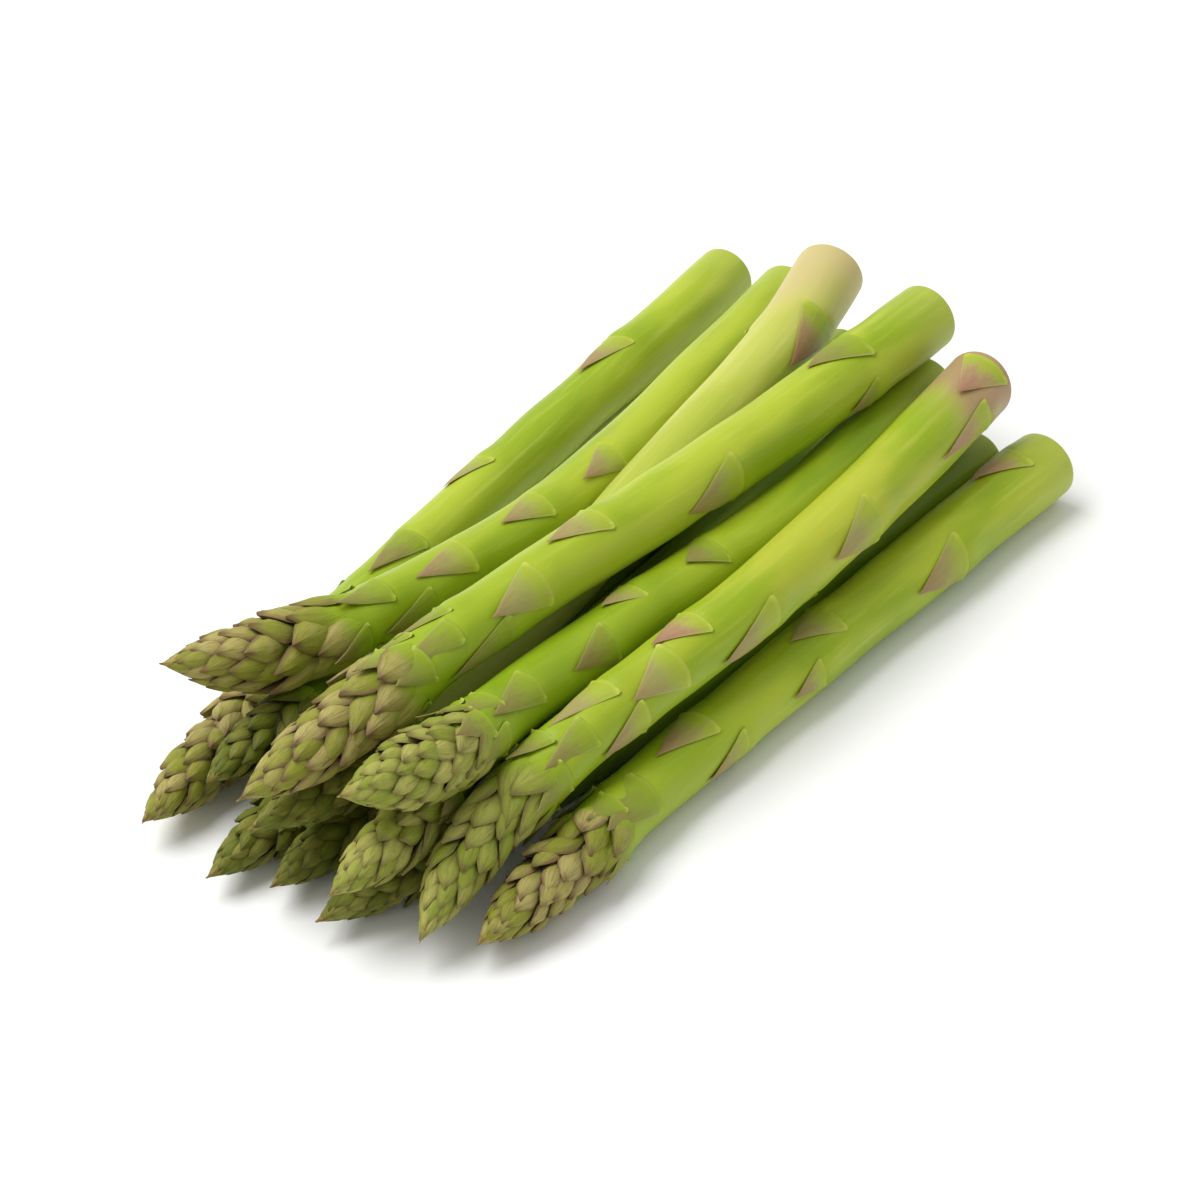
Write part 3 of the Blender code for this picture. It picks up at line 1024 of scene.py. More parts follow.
class ShapeTree(Bench):
    """The bench of one Geometry Nodes tree, whose inputs are named."""

    KINDS = {
        float: "NodeSocketFloat",
        int: "NodeSocketInt",
        bpy.types.Object: "NodeSocketObject",
        bpy.types.Material: "NodeSocketMaterial",
    }

    def __init__(self, name: str, inputs: Mapping[str, type]) -> None:
        """Starts a tree.

        Args:
            name: Its name.
            inputs: The kinds of its inputs besides the geometry, by name.
        """
        super().__init__(bpy.data.node_groups.new(name, "GeometryNodeTree"))
        face = self.tree.interface
        face.new_socket("Geometry", in_out="OUTPUT", socket_type="NodeSocketGeometry")
        face.new_socket("Geometry", in_out="INPUT", socket_type="NodeSocketGeometry")
        for key, kind in inputs.items():
            face.new_socket(key, in_out="INPUT", socket_type=self.KINDS[kind])
        self.entry = self.tree.nodes.new("NodeGroupInput")

    def given(self, name: str) -> Signal:
        """One of the tree's inputs."""
        return Signal(self, self.entry.outputs[name])

    def named(self, name: str) -> Signal:
        """The value of a named attribute."""
        settings = {"data_type": "FLOAT"}
        return self.make("GeometryNodeInputNamedAttribute", settings, {"Name": name}, "Attribute")

    def keep(self, geometry: Signal, name: str, value: Signal) -> Signal:
        """Stores a value on each point."""
        settings = {"data_type": "FLOAT", "domain": "POINT"}
        inputs = {"Geometry": geometry, "Name": name, "Value": value}
        return self.make("GeometryNodeStoreNamedAttribute", settings, inputs)

    def chance(self, low: float, high: float, seed: Signal, lane: int) -> Signal:
        """A random value of each point.

        Args:
            low: Its least.
            high: Its most.
            seed: The spear's own seed.
            lane: A number that keeps this choice apart from the others.

        Returns:
            The value.
        """
        inputs = {"Min": low, "Max": high, "Seed": seed * 17.0 + float(lane)}
        return self.make("FunctionNodeRandomValue", {"data_type": "FLOAT"}, inputs, "Value")

    def wrap(self, points: Signal) -> None:
        """Puts a blade on each point, lays the blades on the spear, and ends the tree.

        A point carries where its blade's base is (along and turn), the blade's size (wide,
        long and high) and how it leans (pitch, roll and yaw). The guide's points carry the
        radius that the blades lie on (core) and how tall they stand (coat).

        Args:
            points: The points.
        """
        blade = self.make("GeometryNodeObjectInfo", None, {"Object": self.given("Blade")}, "Geometry")
        size = self.join(self.named("wide"), self.named("long"), self.named("high"))
        lean = self.join(self.named("pitch"), self.named("roll"), self.named("yaw"))
        turned = self.make("FunctionNodeEulerToRotation", None, {0: lean})
        placed = self.make(
            "GeometryNodeInstanceOnPoints",
            None,
            {"Points": points, "Instance": blade, "Rotation": turned, "Scale": size},
        )
        whole = self.make("GeometryNodeRealizeInstances", None, {"Geometry": placed})

        place = self.make("GeometryNodeInputPosition")
        across, forward, height = self.split(place)
        guide = self.make("GeometryNodeObjectInfo", None, {"Object": self.given("Guide")}, "Geometry")
        line = self.make("GeometryNodeMeshToCurve", None, {"Mesh": guide})
        shifted = self.vector("ADD", place, self.join(0.0, 0.0, self.named("tone") * 9.0))
        ragged = (self.noise(shifted, 430.0, 3.0, 0.6) - 0.5) * self.given("Ripple") * 3.0
        along = self.named("along") - forward - ragged
        inside = along.at_least(0.0)
        settings = {"data_type": "FLOAT", "mode": "LENGTH", "use_all_curves": False}
        places = {"Curves": line, "Length": inside}
        sample = self.node("GeometryNodeSampleCurve", settings, places | {"Value": self.named("core")})
        core = Signal(self, self.find(sample.outputs, "Value"))
        centre = Signal(self, sample.outputs["Position"])
        tangent = Signal(self, sample.outputs["Tangent"])
        coated = places | {"Value": self.named("coat")}
        coat = self.make("GeometryNodeSampleCurve", settings, coated, "Value")
        side = self.vector("NORMALIZE", self.vector("CROSS_PRODUCT", tangent, (0.0, 0.0, 1.0)))
        up = self.vector("CROSS_PRODUCT", side, tangent)
        turn = self.named("turn") - across / (core + coat * 0.0009)
        outward = self.vector("ADD", self.scaled(up, turn.cosine()), self.scaled(side, turn.sine()))
        ripple = self.noise(shifted, 330.0, 2.0)
        stand = core + coat * (height + (ripple - 0.5) * self.given("Ripple"))
        laid = self.vector(
            "ADD",
            self.vector("ADD", centre, self.scaled(tangent, along - inside)),
            self.scaled(outward, stand),
        )
        east, north, rise = self.split(laid)
        laid = self.join(east, north, rise.at_least(SURFACE))
        moved = self.make("GeometryNodeSetPosition", None, {"Geometry": whole, "Position": laid})
        finished = {"Geometry": moved, "Material": self.given("Finish")}
        done = self.make("GeometryNodeSetMaterial", None, finished)
        self.node("NodeGroupOutput", None, {0: done})


def bud_tree() -> bpy.types.NodeTree:
    """Builds the tree that packs scales round a bud, each turned by the golden angle.

    Returns:
        The tree.
    """
    names = (
        "First Base", "Last Base", "Crowding", "Tip Length", "Base Length", "Tip Width", "Base Width",
        "Tip Height", "Base Height", "Looseness", "Ripple",
    )  # fmt: skip
    inputs: dict[str, type] = {name: float for name in names}
    inputs |= {"Count": int, "Seed": int, "Blade": bpy.types.Object, "Guide": bpy.types.Object}
    inputs |= {"Finish": bpy.types.Material}
    tree = ShapeTree("Bud scales", inputs)
    seed, loose = tree.given("Seed"), tree.given("Looseness")
    stacked = {"Count": tree.given("Count"), "Offset": (0.0, 0.0, 0.0)}
    points = tree.make("GeometryNodeMeshLine", None, stacked)
    index = tree.make("GeometryNodeInputIndex")
    age = index / (tree.given("Count") - 1.0)

    def between(low: str, high: str, power: float) -> Signal:
        """A size that grows from the bud's tip to its base."""
        return tree.given(low) + (tree.given(high) - tree.given(low)) * age**power

    slack = loose * age * age
    size = 1.0 + tree.chance(-0.09, 0.09, seed, 1)
    values = {
        "age": age,
        "tone": tree.chance(0.0, 1.0, seed, 2),
        "along": tree.given("First Base")
        + (tree.given("Last Base") - tree.given("First Base")) * age ** tree.given("Crowding")
        + tree.chance(-0.0004, 0.0004, seed, 3) * (0.4 + age),
        "turn": index * GOLDEN_TURN + seed + tree.chance(-0.09, 0.09, seed, 4),
        "long": between("Tip Length", "Base Length", 0.62) * size,
        "wide": between("Tip Width", "Base Width", 0.62) * (1.0 + tree.chance(-0.10, 0.10, seed, 5)),
        "high": between("Tip Height", "Base Height", 0.5)
        * (1.0 + tree.chance(-0.12, 0.16, seed, 6))
        * (1.0 - 0.38 * age.step(0.72, 1.0)),
        "pitch": tree.chance(-0.02, 0.05, seed, 7) + slack * tree.chance(-0.02, 0.14, seed, 8),
        "roll": tree.chance(-0.16, 0.16, seed, 9) * (0.6 + slack),
        "yaw": 0.06 + tree.chance(-0.18, 0.18, seed, 10) * (0.7 + slack),
    }
    for name, value in values.items():
        points = tree.keep(points, name, value)
    tree.wrap(points)
    return tree.tree


def leaf_tree() -> bpy.types.NodeTree:
    """Builds the tree that lays a leaf on each point of a list of places.

    Returns:
        The tree.
    """
    inputs: dict[str, type] = {"Ripple": float, "Blade": bpy.types.Object, "Guide": bpy.types.Object}
    inputs |= {"Finish": bpy.types.Material}
    tree = ShapeTree("Stalk leaves", inputs)
    tree.wrap(tree.given("Geometry"))
    return tree.tree


def grow(
    name: str, tree: bpy.types.NodeTree, start: bpy.types.Mesh, values: Mapping[str, Any]
) -> bpy.types.Object:
    """Runs a tree once and keeps what it makes as a plain mesh.

    Args:
        name: The piece's name.
        tree: The tree.
        start: The mesh that it starts from.
        values: The tree's inputs, by name.

    Returns:
        The piece, with no modifier.
    """
    host = bpy.data.objects.new(f"{name}.host", start)
    bpy.context.scene.collection.objects.link(host)
    modifier = host.modifiers.new("Shape", "NODES")
    modifier.node_group = tree
    for item in tree.interface.items_tree:
        if item.item_type == "SOCKET" and item.in_out == "INPUT" and item.name in values:
            modifier[item.identifier] = values[item.name]
    bpy.context.view_layer.update()
    graph = bpy.context.evaluated_depsgraph_get()
    mesh = bpy.data.meshes.new_from_object(
        host.evaluated_get(graph), preserve_all_data_layers=True, depsgraph=graph
    )
    mesh.name = name
    bpy.data.objects.remove(host, do_unlink=True)
    made = bpy.data.objects.new(name, mesh)
    bpy.context.scene.collection.objects.link(made)
    return made


# --------------------------------------------------------------------------------------
# A spear
# --------------------------------------------------------------------------------------


@dataclass(frozen=True)
class BudStyle:
    """How a spear's bud is packed.

    Attributes:
        scales: The number of scales.
        length: The length of its oldest scales, in millimetres.
        width: Their width, as a share of the bud's radius.
        height: Their height, in millimetres.
        looseness: How far the oldest ones stand off.
    """

    scales: int = 62
    length: float = 12.5
    width: float = 1.20
    height: float = 2.5
    looseness: float = 1.0


@dataclass(frozen=True)
class LeafPlace:
    """A leaf on a stalk: where its base is, its turn, its size and its slot."""

    along: float
    turn: float
    length: float
    width: float
    slot: LeafSlot
    node: str | None = None


@dataclass(frozen=True)
class Character:
    """What sets one spear apart from the others in its slots.

    Attributes:
        bud: How its bud is packed.
        skin: Its own skin finish, if it has one.
        folds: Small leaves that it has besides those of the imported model.
    """

    bud: BudStyle = field(default_factory=BudStyle)
    skin: SkinFinish | None = None
    folds: tuple[LeafPlace, ...] = ()


CHARACTERS = {
    "spear_09": Character(
        skin=SkinFinish(
            "skin_blushed",
            body=(0.450, 0.500, 0.034),
            light=(0.570, 0.600, 0.110),
            butt=(0.500, 0.400, 0.160),
            butt_from=0.80,
            butt_amount=0.75,
            blush=(0.400, 0.190, 0.160),
            blush_from=0.82,
        ),
        bud=BudStyle(scales=64, length=12.0),
        folds=(LeafPlace(172 * MM, math.radians(80), 17 * MM, 6.5 * MM, LeafSlot.PURPLE),),
    ),
    "spear_10": Character(
        # A darker copy of the fresh skin for the middle spear, which lies in shade: painted shade.
        skin=SkinFinish(
            "skin_middle", body=(0.340, 0.450, 0.012), light=(0.470, 0.560, 0.050), deep=(0.230, 0.360, 0.005)
        ),
        bud=BudStyle(scales=84, length=9.0, width=0.95, height=2.4),
    ),
    "spear_01": Character(
        bud=BudStyle(scales=70, length=11.0, width=1.05, height=2.3),
        folds=(LeafPlace(97 * MM, math.radians(78), 9 * MM, 6 * MM, LeafSlot.TAN),),
    ),
    "spear_12": Character(bud=BudStyle(scales=58, length=13.5, width=1.20, height=2.7)),
    "spear_02": Character(bud=BudStyle(scales=62, length=10.5, height=2.0)),
    "spear_03": Character(bud=BudStyle(scales=62, length=10.5, height=2.0)),
    "spear_04": Character(bud=BudStyle(scales=62, length=11.0, height=2.0)),
    "spear_06": Character(bud=BudStyle(scales=50, length=10.5, height=2.1)),
    "spear_07": Character(bud=BudStyle(scales=62, length=11.0, height=2.0)),
    "spear_08": Character(bud=BudStyle(scales=62, length=11.0, height=2.1)),
}


@dataclass
class Workshop:
    """What all spears share: the trees, the blades' shapes and the finishes."""

    palette: Palette
    bud_tree: bpy.types.NodeTree
    leaf_tree: bpy.types.NodeTree
    bud_blade: bpy.types.Object
    stalk_blade: bpy.types.Object

    @classmethod
    def open(cls) -> "Workshop":
        """Builds everything that is shared."""
        return cls(
            Palette(),
            bud_tree(),
            leaf_tree(),
            BudBlade().build("bud_blade_helper"),
            StalkBlade().build("stalk_blade_helper"),
        )

    def close(self) -> None:
        """Removes the helpers."""
        for helper in (self.bud_blade, self.stalk_blade):
            bpy.data.objects.remove(helper, do_unlink=True)


@dataclass
class Spear:
    """One spear: its skin, its cut face, its bud and its leaves.

    Attributes:
        name: The spear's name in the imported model.
        nodes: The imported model's nodes, by name.
        shop: What all spears share.
    """

    name: str
    nodes: Mapping[str, bpy.types.Object]
    shop: Workshop
    skin_sides: int = 56
    skin_spacing: float = 1.1 * MM
    butt_rounding: float = 0.9 * MM
    overlap: float = 8.0 * MM
    collar: float = 3.5 * MM
    core_share: float = 0.66
    leaf_height: float = 1.0 * MM
    neck_leaves: int = 7
    neck_start: float = 0.5 * MM
    neck_spacing: float = 1.3 * MM
    neck_crowding: float = 0.55
    leaf_spread: float = 1.16
    leaf_reach: float = 1.08
    first_spacing: float = 6.5 * MM
    last_spacing: float = 15.0 * MM
    spacing_growth: float = 1.14
    wave_count: int = 5
    wave_height: float = 0.045 * MM
    joint_height: float = 0.60 * MM
    joint_fade: float = 4.2 * MM
    joint_rise: float = 1.1 * MM
    line: CentreLine = field(init=False)
    leaves: list[LeafPlace] = field(init=False, default_factory=list)

    def __post_init__(self) -> None:
        """Reads the spear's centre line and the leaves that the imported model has."""
        self.number = int(self.name[-2:])
        self.random = np.random.default_rng(1000 + self.number)
        self.character = CHARACTERS.get(self.name, Character())
        self.line = CentreLine.measure(self.nodes[f"{self.name}_stalk"], self.nodes[f"{self.name}_head"])
        for node_name in sorted(self.nodes):
            if node_name.startswith(f"{self.name}_leaf_"):
                self.leaves.append(self.read_leaf(node_name))
        self.leaves += self.character.folds

    def slot_of(self, node: str) -> str:
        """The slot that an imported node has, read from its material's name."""
        return self.nodes[node].material_slots[0].material.name.split(".")[0]

    def read_leaf(self, node: str) -> LeafPlace:
        """Reads a packed leaf's place on the stalk.

        Args:
            node: The leaf's node.

        Returns:
            Its place.
        """
        corners = corners_of(self.nodes[node]).reshape(-1, 3)
        along, turn = self.line.locate(corners)
        at_point = along < along.min() + 0.6 * MM
        middle = math.atan2(np.sin(turn[at_point]).mean(), np.cos(turn[at_point]).mean())
        spread = wrapped(turn - middle)
        radius = float(self.line.stalk_radius(along.max())[0])
        return LeafPlace(
            along=float(along.max()),
            turn=middle + float(spread.max() + spread.min()) / 2,
            length=float(np.ptp(along)),
            width=float(np.ptp(spread)) * radius,
            slot=LeafSlot(self.slot_of(node)),
            node=node,
        )

    def add_hidden_leaves(self, others: Sequence["Spear"]) -> None:
        """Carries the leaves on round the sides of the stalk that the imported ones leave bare.

        Each one follows the last by the golden angle, and is left out where it would lie on
        another leaf, another spear or the surface.

        Args:
            others: The other spears.
        """
        measured = bool(self.leaves)
        along = self.line.head + 5.0 * MM
        turn, step = float(self.number), self.first_spacing
        while along < self.line.length - 9.0 * MM:
            share = (along - self.line.head) / (self.line.length - self.line.head)
            slot = LeafSlot.GREEN if share < 0.22 else LeafSlot.PURPLE if share > 0.80 else LeafSlot.TAN
            turn = wrapped(turn + GOLDEN_TURN)
            radius = float(self.line.stalk_radius(along)[0])
            candidate = LeafPlace(
                along,
                turn,
                length=(10.5 + 2.0 * self.random.random()) * MM,
                width=radius * (1.45 + 0.2 * self.random.random()),
                slot=slot,
            )
            facing = -math.radians(100) < turn < math.radians(165)
            if not (measured and facing) and self.is_clear(candidate, others):
                self.leaves.append(candidate)
            along += step
            step = min(step * self.spacing_growth, self.last_spacing)

    def add_neck_leaves(self, others: Sequence["Spear"]) -> None:
        """Stands young leaves, each turned by the golden angle, where the bud meets the stalk.

        Args:
            others: The other spears.
        """
        for step in range(self.neck_leaves):
            along = self.line.head + self.neck_start + self.neck_spacing * step
            radius = float(self.line.stalk_radius(along)[0])
            candidate = LeafPlace(
                along,
                wrapped(1.7 * self.number + step * GOLDEN_TURN),
                length=(8.5 + 2.0 * self.random.random()) * MM,
                width=radius * (1.00 + 0.25 * self.random.random()),
                slot=LeafSlot.GREEN,
            )
            if self.is_clear(candidate, others, crowding=self.neck_crowding):
                self.leaves.append(candidate)

    def is_clear(self, leaf: LeafPlace, others: Sequence["Spear"], crowding: float = 1.0) -> bool:
        """Whether a new leaf has room.

        Args:
            leaf: The leaf.
            others: The other spears.
            crowding: How much of its size it keeps clear of this spear's other leaves.

        Returns:
            True if it lies on no leaf of this spear, no other spear and not on the surface.
        """
        radius = float(self.line.stalk_radius(leaf.along)[0])
        for old in self.leaves:
            gap = abs(wrapped(old.turn - leaf.turn)) * radius
            beside = crowding * (old.width + leaf.width) / 2
            if abs(old.along - leaf.along) < crowding * leaf.length + 1.5 * MM and gap < beside:
                return False
        along = leaf.along - leaf.length * np.array([0.0, 0.4, 0.8])
        for across in (-0.35, 0.0, 0.35):
            turn = np.full(3, leaf.turn + across * leaf.width / radius)
            places = self.line.point(along) + self.line.outward(along, turn) * (radius + 0.6 * MM)
            if places[:, 2].min() < 0.1 * MM:
                return False
            for other in others:
                if other is self:
                    continue
                gaps = np.linalg.norm(places[:, None] - other.line.places[None], axis=2)
                if (gaps - other.line.girth[None]).min() < 0.4 * MM:
                    return False
        return True

    def register(self, piece: bpy.types.Object, slot: str, *replaced: str) -> bpy.types.Object:
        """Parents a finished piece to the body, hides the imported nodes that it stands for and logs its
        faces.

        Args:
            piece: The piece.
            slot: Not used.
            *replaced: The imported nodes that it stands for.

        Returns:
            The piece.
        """
        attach(piece, BODY)
        if replaced:
            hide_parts(*replaced)
        LOG.info("%s: %d faces", piece.name, len(piece.data.polygons))
        return piece

    def build_skin(self) -> None:
        """Builds the stalk: slightly wavy, swollen behind each leaf, soft at its cut edge."""
        line, start = self.line, self.line.head - self.overlap
        end = line.length - self.butt_rounding
        rows = np.linspace(start, end, int((end - start) / self.skin_spacing))
        curl = np.linspace(0.0, math.pi / 2, 5)[1:]
        rows = np.concatenate([rows, end + np.sin(curl) * self.butt_rounding])
        drop = np.concatenate([np.zeros(len(rows) - 4), (1 - np.cos(curl)) * self.butt_rounding])
        turns = math.pi + np.linspace(0.0, FULL_TURN, self.skin_sides, endpoint=False)
        along, turn = (grid.ravel() for grid in np.meshgrid(rows, turns, indexing="ij"))
        radius = line.stalk_radius(along)
        waves = np.zeros(len(along))
        for _ in range(self.wave_count):
            length, lobes = self.random.uniform(18, 60) * MM, int(self.random.integers(0, 3))
            phase = self.random.uniform(0, FULL_TURN)
            waves += np.sin(FULL_TURN * along / length + lobes * turn + phase)
        swell = waves * self.wave_height
        for leaf in self.leaves:
            gap = wrapped(turn - leaf.turn) * radius
            beside = np.exp(-((gap / (leaf.width * 0.55)) ** 2))
            past = along - leaf.along - (self.leaf_reach - 1) * leaf.length - 0.9 * MM
            behind = np.exp(-((past / np.where(past > 0, self.joint_fade, self.joint_rise)) ** 2))
            swell = np.maximum(swell, waves * self.wave_height + self.joint_height * beside * behind)
        hidden = np.clip((line.head - self.collar - along) / (self.overlap - self.collar), 0.0, 1.0)
        radius = (radius + swell) * (1 - 0.40 * hidden) - np.repeat(drop, self.skin_sides)
        places = line.point(along) + line.outward(along, turn) * radius[:, None]
        grain = np.stack([np.cos(turn) * radius, np.sin(turn) * radius, along], axis=1) / MM
        grain += 1000.0 * self.number
        reach = np.clip((along - line.head) / (line.length - line.head), 0.0, 1.0)
        faces = tube_faces(len(rows), self.skin_sides, True, True)
        mesh = mesh_from(f"{self.name}_skin", places, faces, {"grain": grain, "reach": reach})
        slot = self.slot_of(f"{self.name}_stalk")
        finish = self.character.skin or SKIN_FINISHES[SkinSlot(slot)]
        piece = add_object(mesh.name, mesh, self.shop.palette.get(finish))
        self.register(piece, slot, f"{self.name}_stalk")

    def build_cut(self) -> None:
        """Builds the cut face: a shallow, slightly uneven crown inside the skin's edge."""
        line = self.line
        radius = float(line.stalk_radius(line.length)[0]) - self.butt_rounding * 0.95
        profile = (
            (1.0, -0.50), (1.0, 0.06), (0.97, 0.14), (0.86, 0.20), (0.66, 0.17), (0.42, 0.10), (0.18, 0.05),
        )  # fmt: skip
        turns = np.linspace(0.0, FULL_TURN, 48, endpoint=False)
        places, ring = [], []
        for share, stand in profile:
            wobble = 0.03 * np.sin(3 * turns + self.number) + 0.02 * np.sin(7 * turns)
            at = line.length + (stand + wobble * (stand > 0)) * MM
            along = np.broadcast_to(at, turns.shape)
            places.append(line.point(along) + line.outward(along, turns) * radius * share)
            ring.append(np.full(len(turns), share))
        corners = np.concatenate(places)
        face = np.stack(
            [
                np.concatenate([np.cos(turns) * radius * share / MM for share, _ in profile]),
                np.concatenate([np.sin(turns) * radius * share / MM for share, _ in profile]),
                np.full(len(corners), 10.0 * self.number),
            ],
            axis=1,
        )
        faces = tube_faces(len(profile), len(turns), True, True)
        attributes = {"ring": np.concatenate(ring), "face": face}
        mesh = mesh_from(f"{self.name}_cut", corners, faces, attributes)
        piece = add_object(mesh.name, mesh, self.shop.palette.get(CutFinish("fresh_cut")))
        self.register(piece, self.slot_of(f"{self.name}_stalk"))

    def guide(self, core: np.ndarray, coat: np.ndarray) -> bpy.types.Object:
        """Makes the helper line that blades are laid along.

        Args:
            core: The radius that they lie on, at each of the line's points.
            coat: How tall they stand there, as a share of their own height.

        Returns:
            The helper, which isn't in the scene.
        """
        mesh = bpy.data.meshes.new("guide_helper")
        count = len(self.line.places)
        mesh.from_pydata(
            [tuple(place) for place in self.line.places], [(i, i + 1) for i in range(count - 1)], []
        )
        for key, values in (("core", core), ("coat", coat)):
            mesh.attributes.new(key, "FLOAT", "POINT").data.foreach_set("value", values.astype(np.float32))
        return bpy.data.objects.new("guide_helper", mesh)

    def build_bud(self) -> None:
        """Builds the bud's scales and the growth that shows between them."""
        line, style = self.line, self.character.bud
        widest = float(line.radius(np.linspace(0, line.head, 60)).max())
        share = np.clip(line.along / line.head, 0.0, 1.0)
        closing = np.clip((share - 0.62) / 0.38, 0.0, 1.0)
        closing = closing * closing * (3 - 2 * closing)
        neck = float(line.stalk_radius(0.0)[0])
        core = line.girth * (self.core_share + (1 - self.core_share) * closing * 0.92)
        core = np.where(line.along > line.head - self.collar, np.maximum(core, neck * 0.985), core)
        coat = np.clip(line.girth / widest, 0.05, 1.0)
        guide = self.guide(core, coat)
        slot = self.slot_of(f"{self.name}_head")
        finish = BUD_FINISHES[BudSlot(slot)]
        values = {
            "First Base": 3.4 * MM,
            "Last Base": line.head + 5.0 * MM,
            "Crowding": 1.18,
            "Tip Length": 3.8 * MM,
            "Base Length": style.length * MM,
            "Tip Width": 2.0 * MM,
            "Base Width": style.width * widest,
            "Tip Height": 1.1 * MM,
            "Base Height": style.height * MM,
            "Looseness": style.looseness,
            "Ripple": 0.36 * MM,
            "Count": style.scales,
            "Seed": self.number,
            "Blade": self.shop.bud_blade,
            "Guide": guide,
            "Finish": self.shop.palette.get(finish),
        }
        piece = grow(f"{self.name}_bud", self.shop.bud_tree, bpy.data.meshes.new("start"), values)
        self.register(piece, slot, f"{self.name}_head")
        bpy.data.objects.remove(guide, do_unlink=True)

        # The core under the scales is nearly black: painted shade for the gaps between them.
        rows = np.linspace(0.0, line.head - 1.0 * MM, 44)
        turns = np.linspace(0.0, FULL_TURN, 32, endpoint=False)
        along, turn = (grid.ravel() for grid in np.meshgrid(rows, turns, indexing="ij"))
        radius = np.interp(along, line.along, core) + 0.10 * MM * np.sin(5 * turn + along / MM * 0.9)
        covered = np.clip((along - line.head + self.collar + 1.5 * MM) / (1.5 * MM), 0.0, 1.0)
        radius = np.minimum(radius, neck * (1.0 - 0.14 * covered) + (1 - covered) * line.head)
        places = line.point(along) + line.outward(along, turn) * radius[:, None]
        mesh = mesh_from(f"{self.name}_bud_core", places, tube_faces(len(rows), len(turns), True, True))
        inner = add_object(mesh.name, mesh, self.shop.palette.get(CoreFinish("bud_core")))
        self.register(inner, slot)

    def bulge(self, chosen: Sequence[LeafPlace]) -> np.ndarray:
        """How much fuller each leaf is than one far from the bud."""
        beyond = np.array([leaf.along - self.line.head for leaf in chosen])
        return 1 + 1.5 * np.exp(-np.maximum(beyond - 4 * MM, 0.0) / (7 * MM))

    def build_leaves(self) -> None:
        """Builds the leaves, one piece for each leaf slot in use."""
        line = self.line
        lifted = np.clip((line.head + 2 * MM - line.along) / (8 * MM), 0.0, 1.0)
        core = np.maximum(line.stalk_radius(line.along), line.girth) + (0.12 + lifted * 1.1) * MM
        guide = self.guide(core, np.ones(len(line.along)))
        for slot in LeafSlot:
            chosen = [leaf for leaf in self.leaves if leaf.slot is slot]
            if not chosen:
                continue
            count = len(chosen)
            values = {
                "along": [leaf.along + (self.leaf_reach - 1) * leaf.length for leaf in chosen],
                "turn": [leaf.turn for leaf in chosen],
                "long": [leaf.length * self.leaf_reach for leaf in chosen],
                "wide": [leaf.width * self.leaf_spread for leaf in chosen],
                "high": self.leaf_height * self.random.uniform(0.9, 1.15, count) * self.bulge(chosen),
                "pitch": self.random.uniform(0.0, 0.02, count),
                "roll": self.random.uniform(-0.02, 0.02, count),
                "yaw": self.random.uniform(-0.05, 0.05, count),
                "tone": self.random.uniform(0.0, 1.0, count),
                "age": np.ones(count),
            }
            start = mesh_from("start", np.zeros((count, 3)), [], {k: np.array(v) for k, v in values.items()})
            inputs = {
                "Ripple": 0.20 * MM,
                "Blade": self.shop.stalk_blade,
                "Guide": guide,
                "Finish": self.shop.palette.get(LEAF_FINISHES[slot]),
            }
            name = f"{self.name}_leaves_{slot.name.lower()}"
            piece = grow(name, self.shop.leaf_tree, start, inputs)
            self.register(piece, slot.value, *[leaf.node for leaf in chosen if leaf.node])
        bpy.data.objects.remove(guide, do_unlink=True)

    def build(self) -> None:
        """Builds every piece of the spear."""
        self.build_skin()
        self.build_cut()
        self.build_bud()
        self.build_leaves()


# --------------------------------------------------------------------------------------
# The studio
# --------------------------------------------------------------------------------------


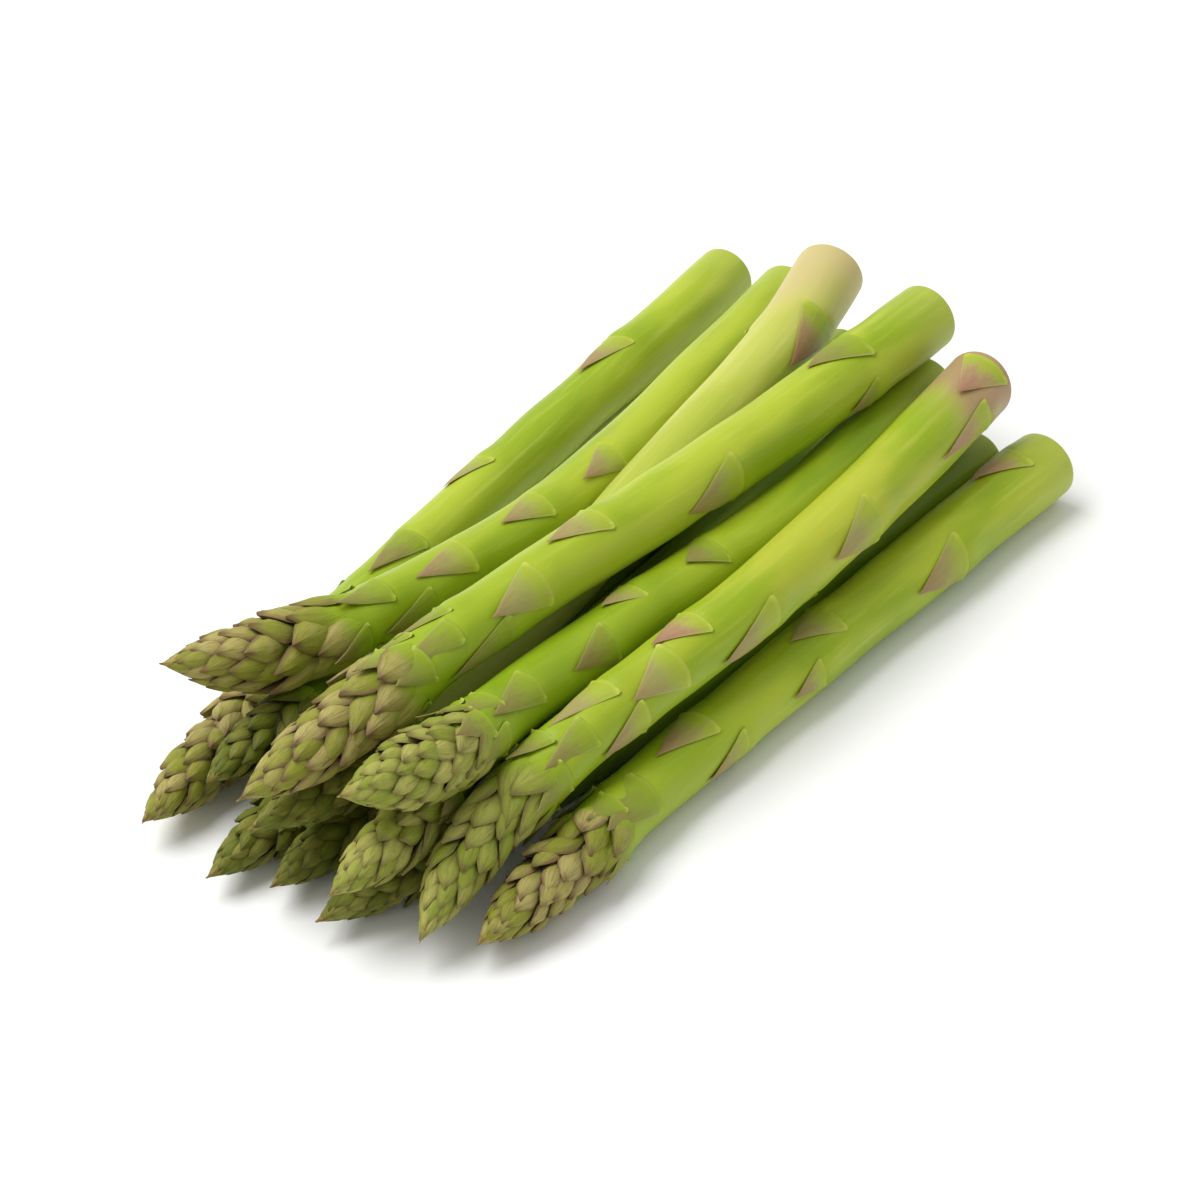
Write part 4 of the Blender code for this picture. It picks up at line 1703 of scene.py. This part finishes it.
@dataclass(frozen=True)
class Studio:
    """A pale floor, soft light and the camera."""

    target: tuple[float, float, float] = (0.00696, 0.00280, 0.00030)
    azimuth: float = math.radians(-52.0)
    elevation: float = math.radians(36.0)
    distance: float = 1.0
    lens: float = 159.0
    sensor: float = 36.0
    floor_size: float = 8.0
    world_strength: float = 0.56
    key_power: float = 28.0
    key_size: float = 1.45
    key_place: tuple[float, float, float] = (-0.38, 0.74, 1.55)

    def build(self) -> None:
        """Builds the studio."""
        self.add_floor()
        self.add_world()
        self.add_key()
        self.add_camera()

    def add_floor(self) -> None:
        """Lays the floor at the height of the spears' underside."""
        half = self.floor_size / 2
        places = np.array([(-half, -half, 0), (half, -half, 0), (half, half, 0), (-half, half, 0)])
        mesh = mesh_from("floor", places, [[0, 1, 2, 3]])
        add_object("floor", mesh, FloorFinish().build())

    def add_world(self) -> None:
        """Lights the scene evenly from all round."""
        world = bpy.data.worlds.new("soft_white")
        world.use_nodes = True
        background = world.node_tree.nodes["Background"]
        background.inputs["Color"].default_value = (1.0, 1.0, 1.0, 1.0)
        background.inputs["Strength"].default_value = self.world_strength
        bpy.context.scene.world = world

    def add_key(self) -> None:
        """Adds a large soft lamp behind and to the left."""
        lamp = bpy.data.lights.new("key", "AREA")
        lamp.energy = self.key_power
        lamp.shape = "DISK"
        lamp.size = self.key_size
        holder = bpy.data.objects.new("key", lamp)
        holder.location = self.key_place
        aim = Vector(self.target) - Vector(self.key_place)
        holder.rotation_euler = aim.to_track_quat("-Z", "Y").to_euler()
        bpy.context.scene.collection.objects.link(holder)

    def add_camera(self) -> None:
        """Adds the camera and makes it the scene's."""
        camera = bpy.data.cameras.new("camera")
        camera.lens = self.lens
        camera.sensor_width = self.sensor
        camera.clip_start, camera.clip_end = 0.01, 20.0
        holder = bpy.data.objects.new("camera", camera)
        way = Vector(
            (
                math.sin(self.azimuth) * math.cos(self.elevation),
                -math.cos(self.azimuth) * math.cos(self.elevation),
                math.sin(self.elevation),
            )
        )
        holder.location = Vector(self.target) + way * self.distance
        holder.rotation_euler = (-way).to_track_quat("-Z", "Y").to_euler()
        bpy.context.scene.collection.objects.link(holder)
        bpy.context.scene.camera = holder


def main() -> None:
    """Builds the spears and the studio, and notes the sizes."""
    logging.basicConfig(level=logging.INFO, format="%(message)s")
    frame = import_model()
    bpy.context.scene.view_settings.view_transform = "Standard"
    shop = Workshop.open()
    names = sorted(name[: -len("_stalk")] for name in frame["nodes"] if name.endswith("_stalk"))
    spears = [Spear(name, frame["nodes"], shop) for name in names]
    for spear in spears:
        spear.add_neck_leaves(spears)
        spear.add_hidden_leaves(spears)
    for spear in spears:
        spear.build()
    shop.close()
    Studio().build()


if __name__ == "__main__":
    main()
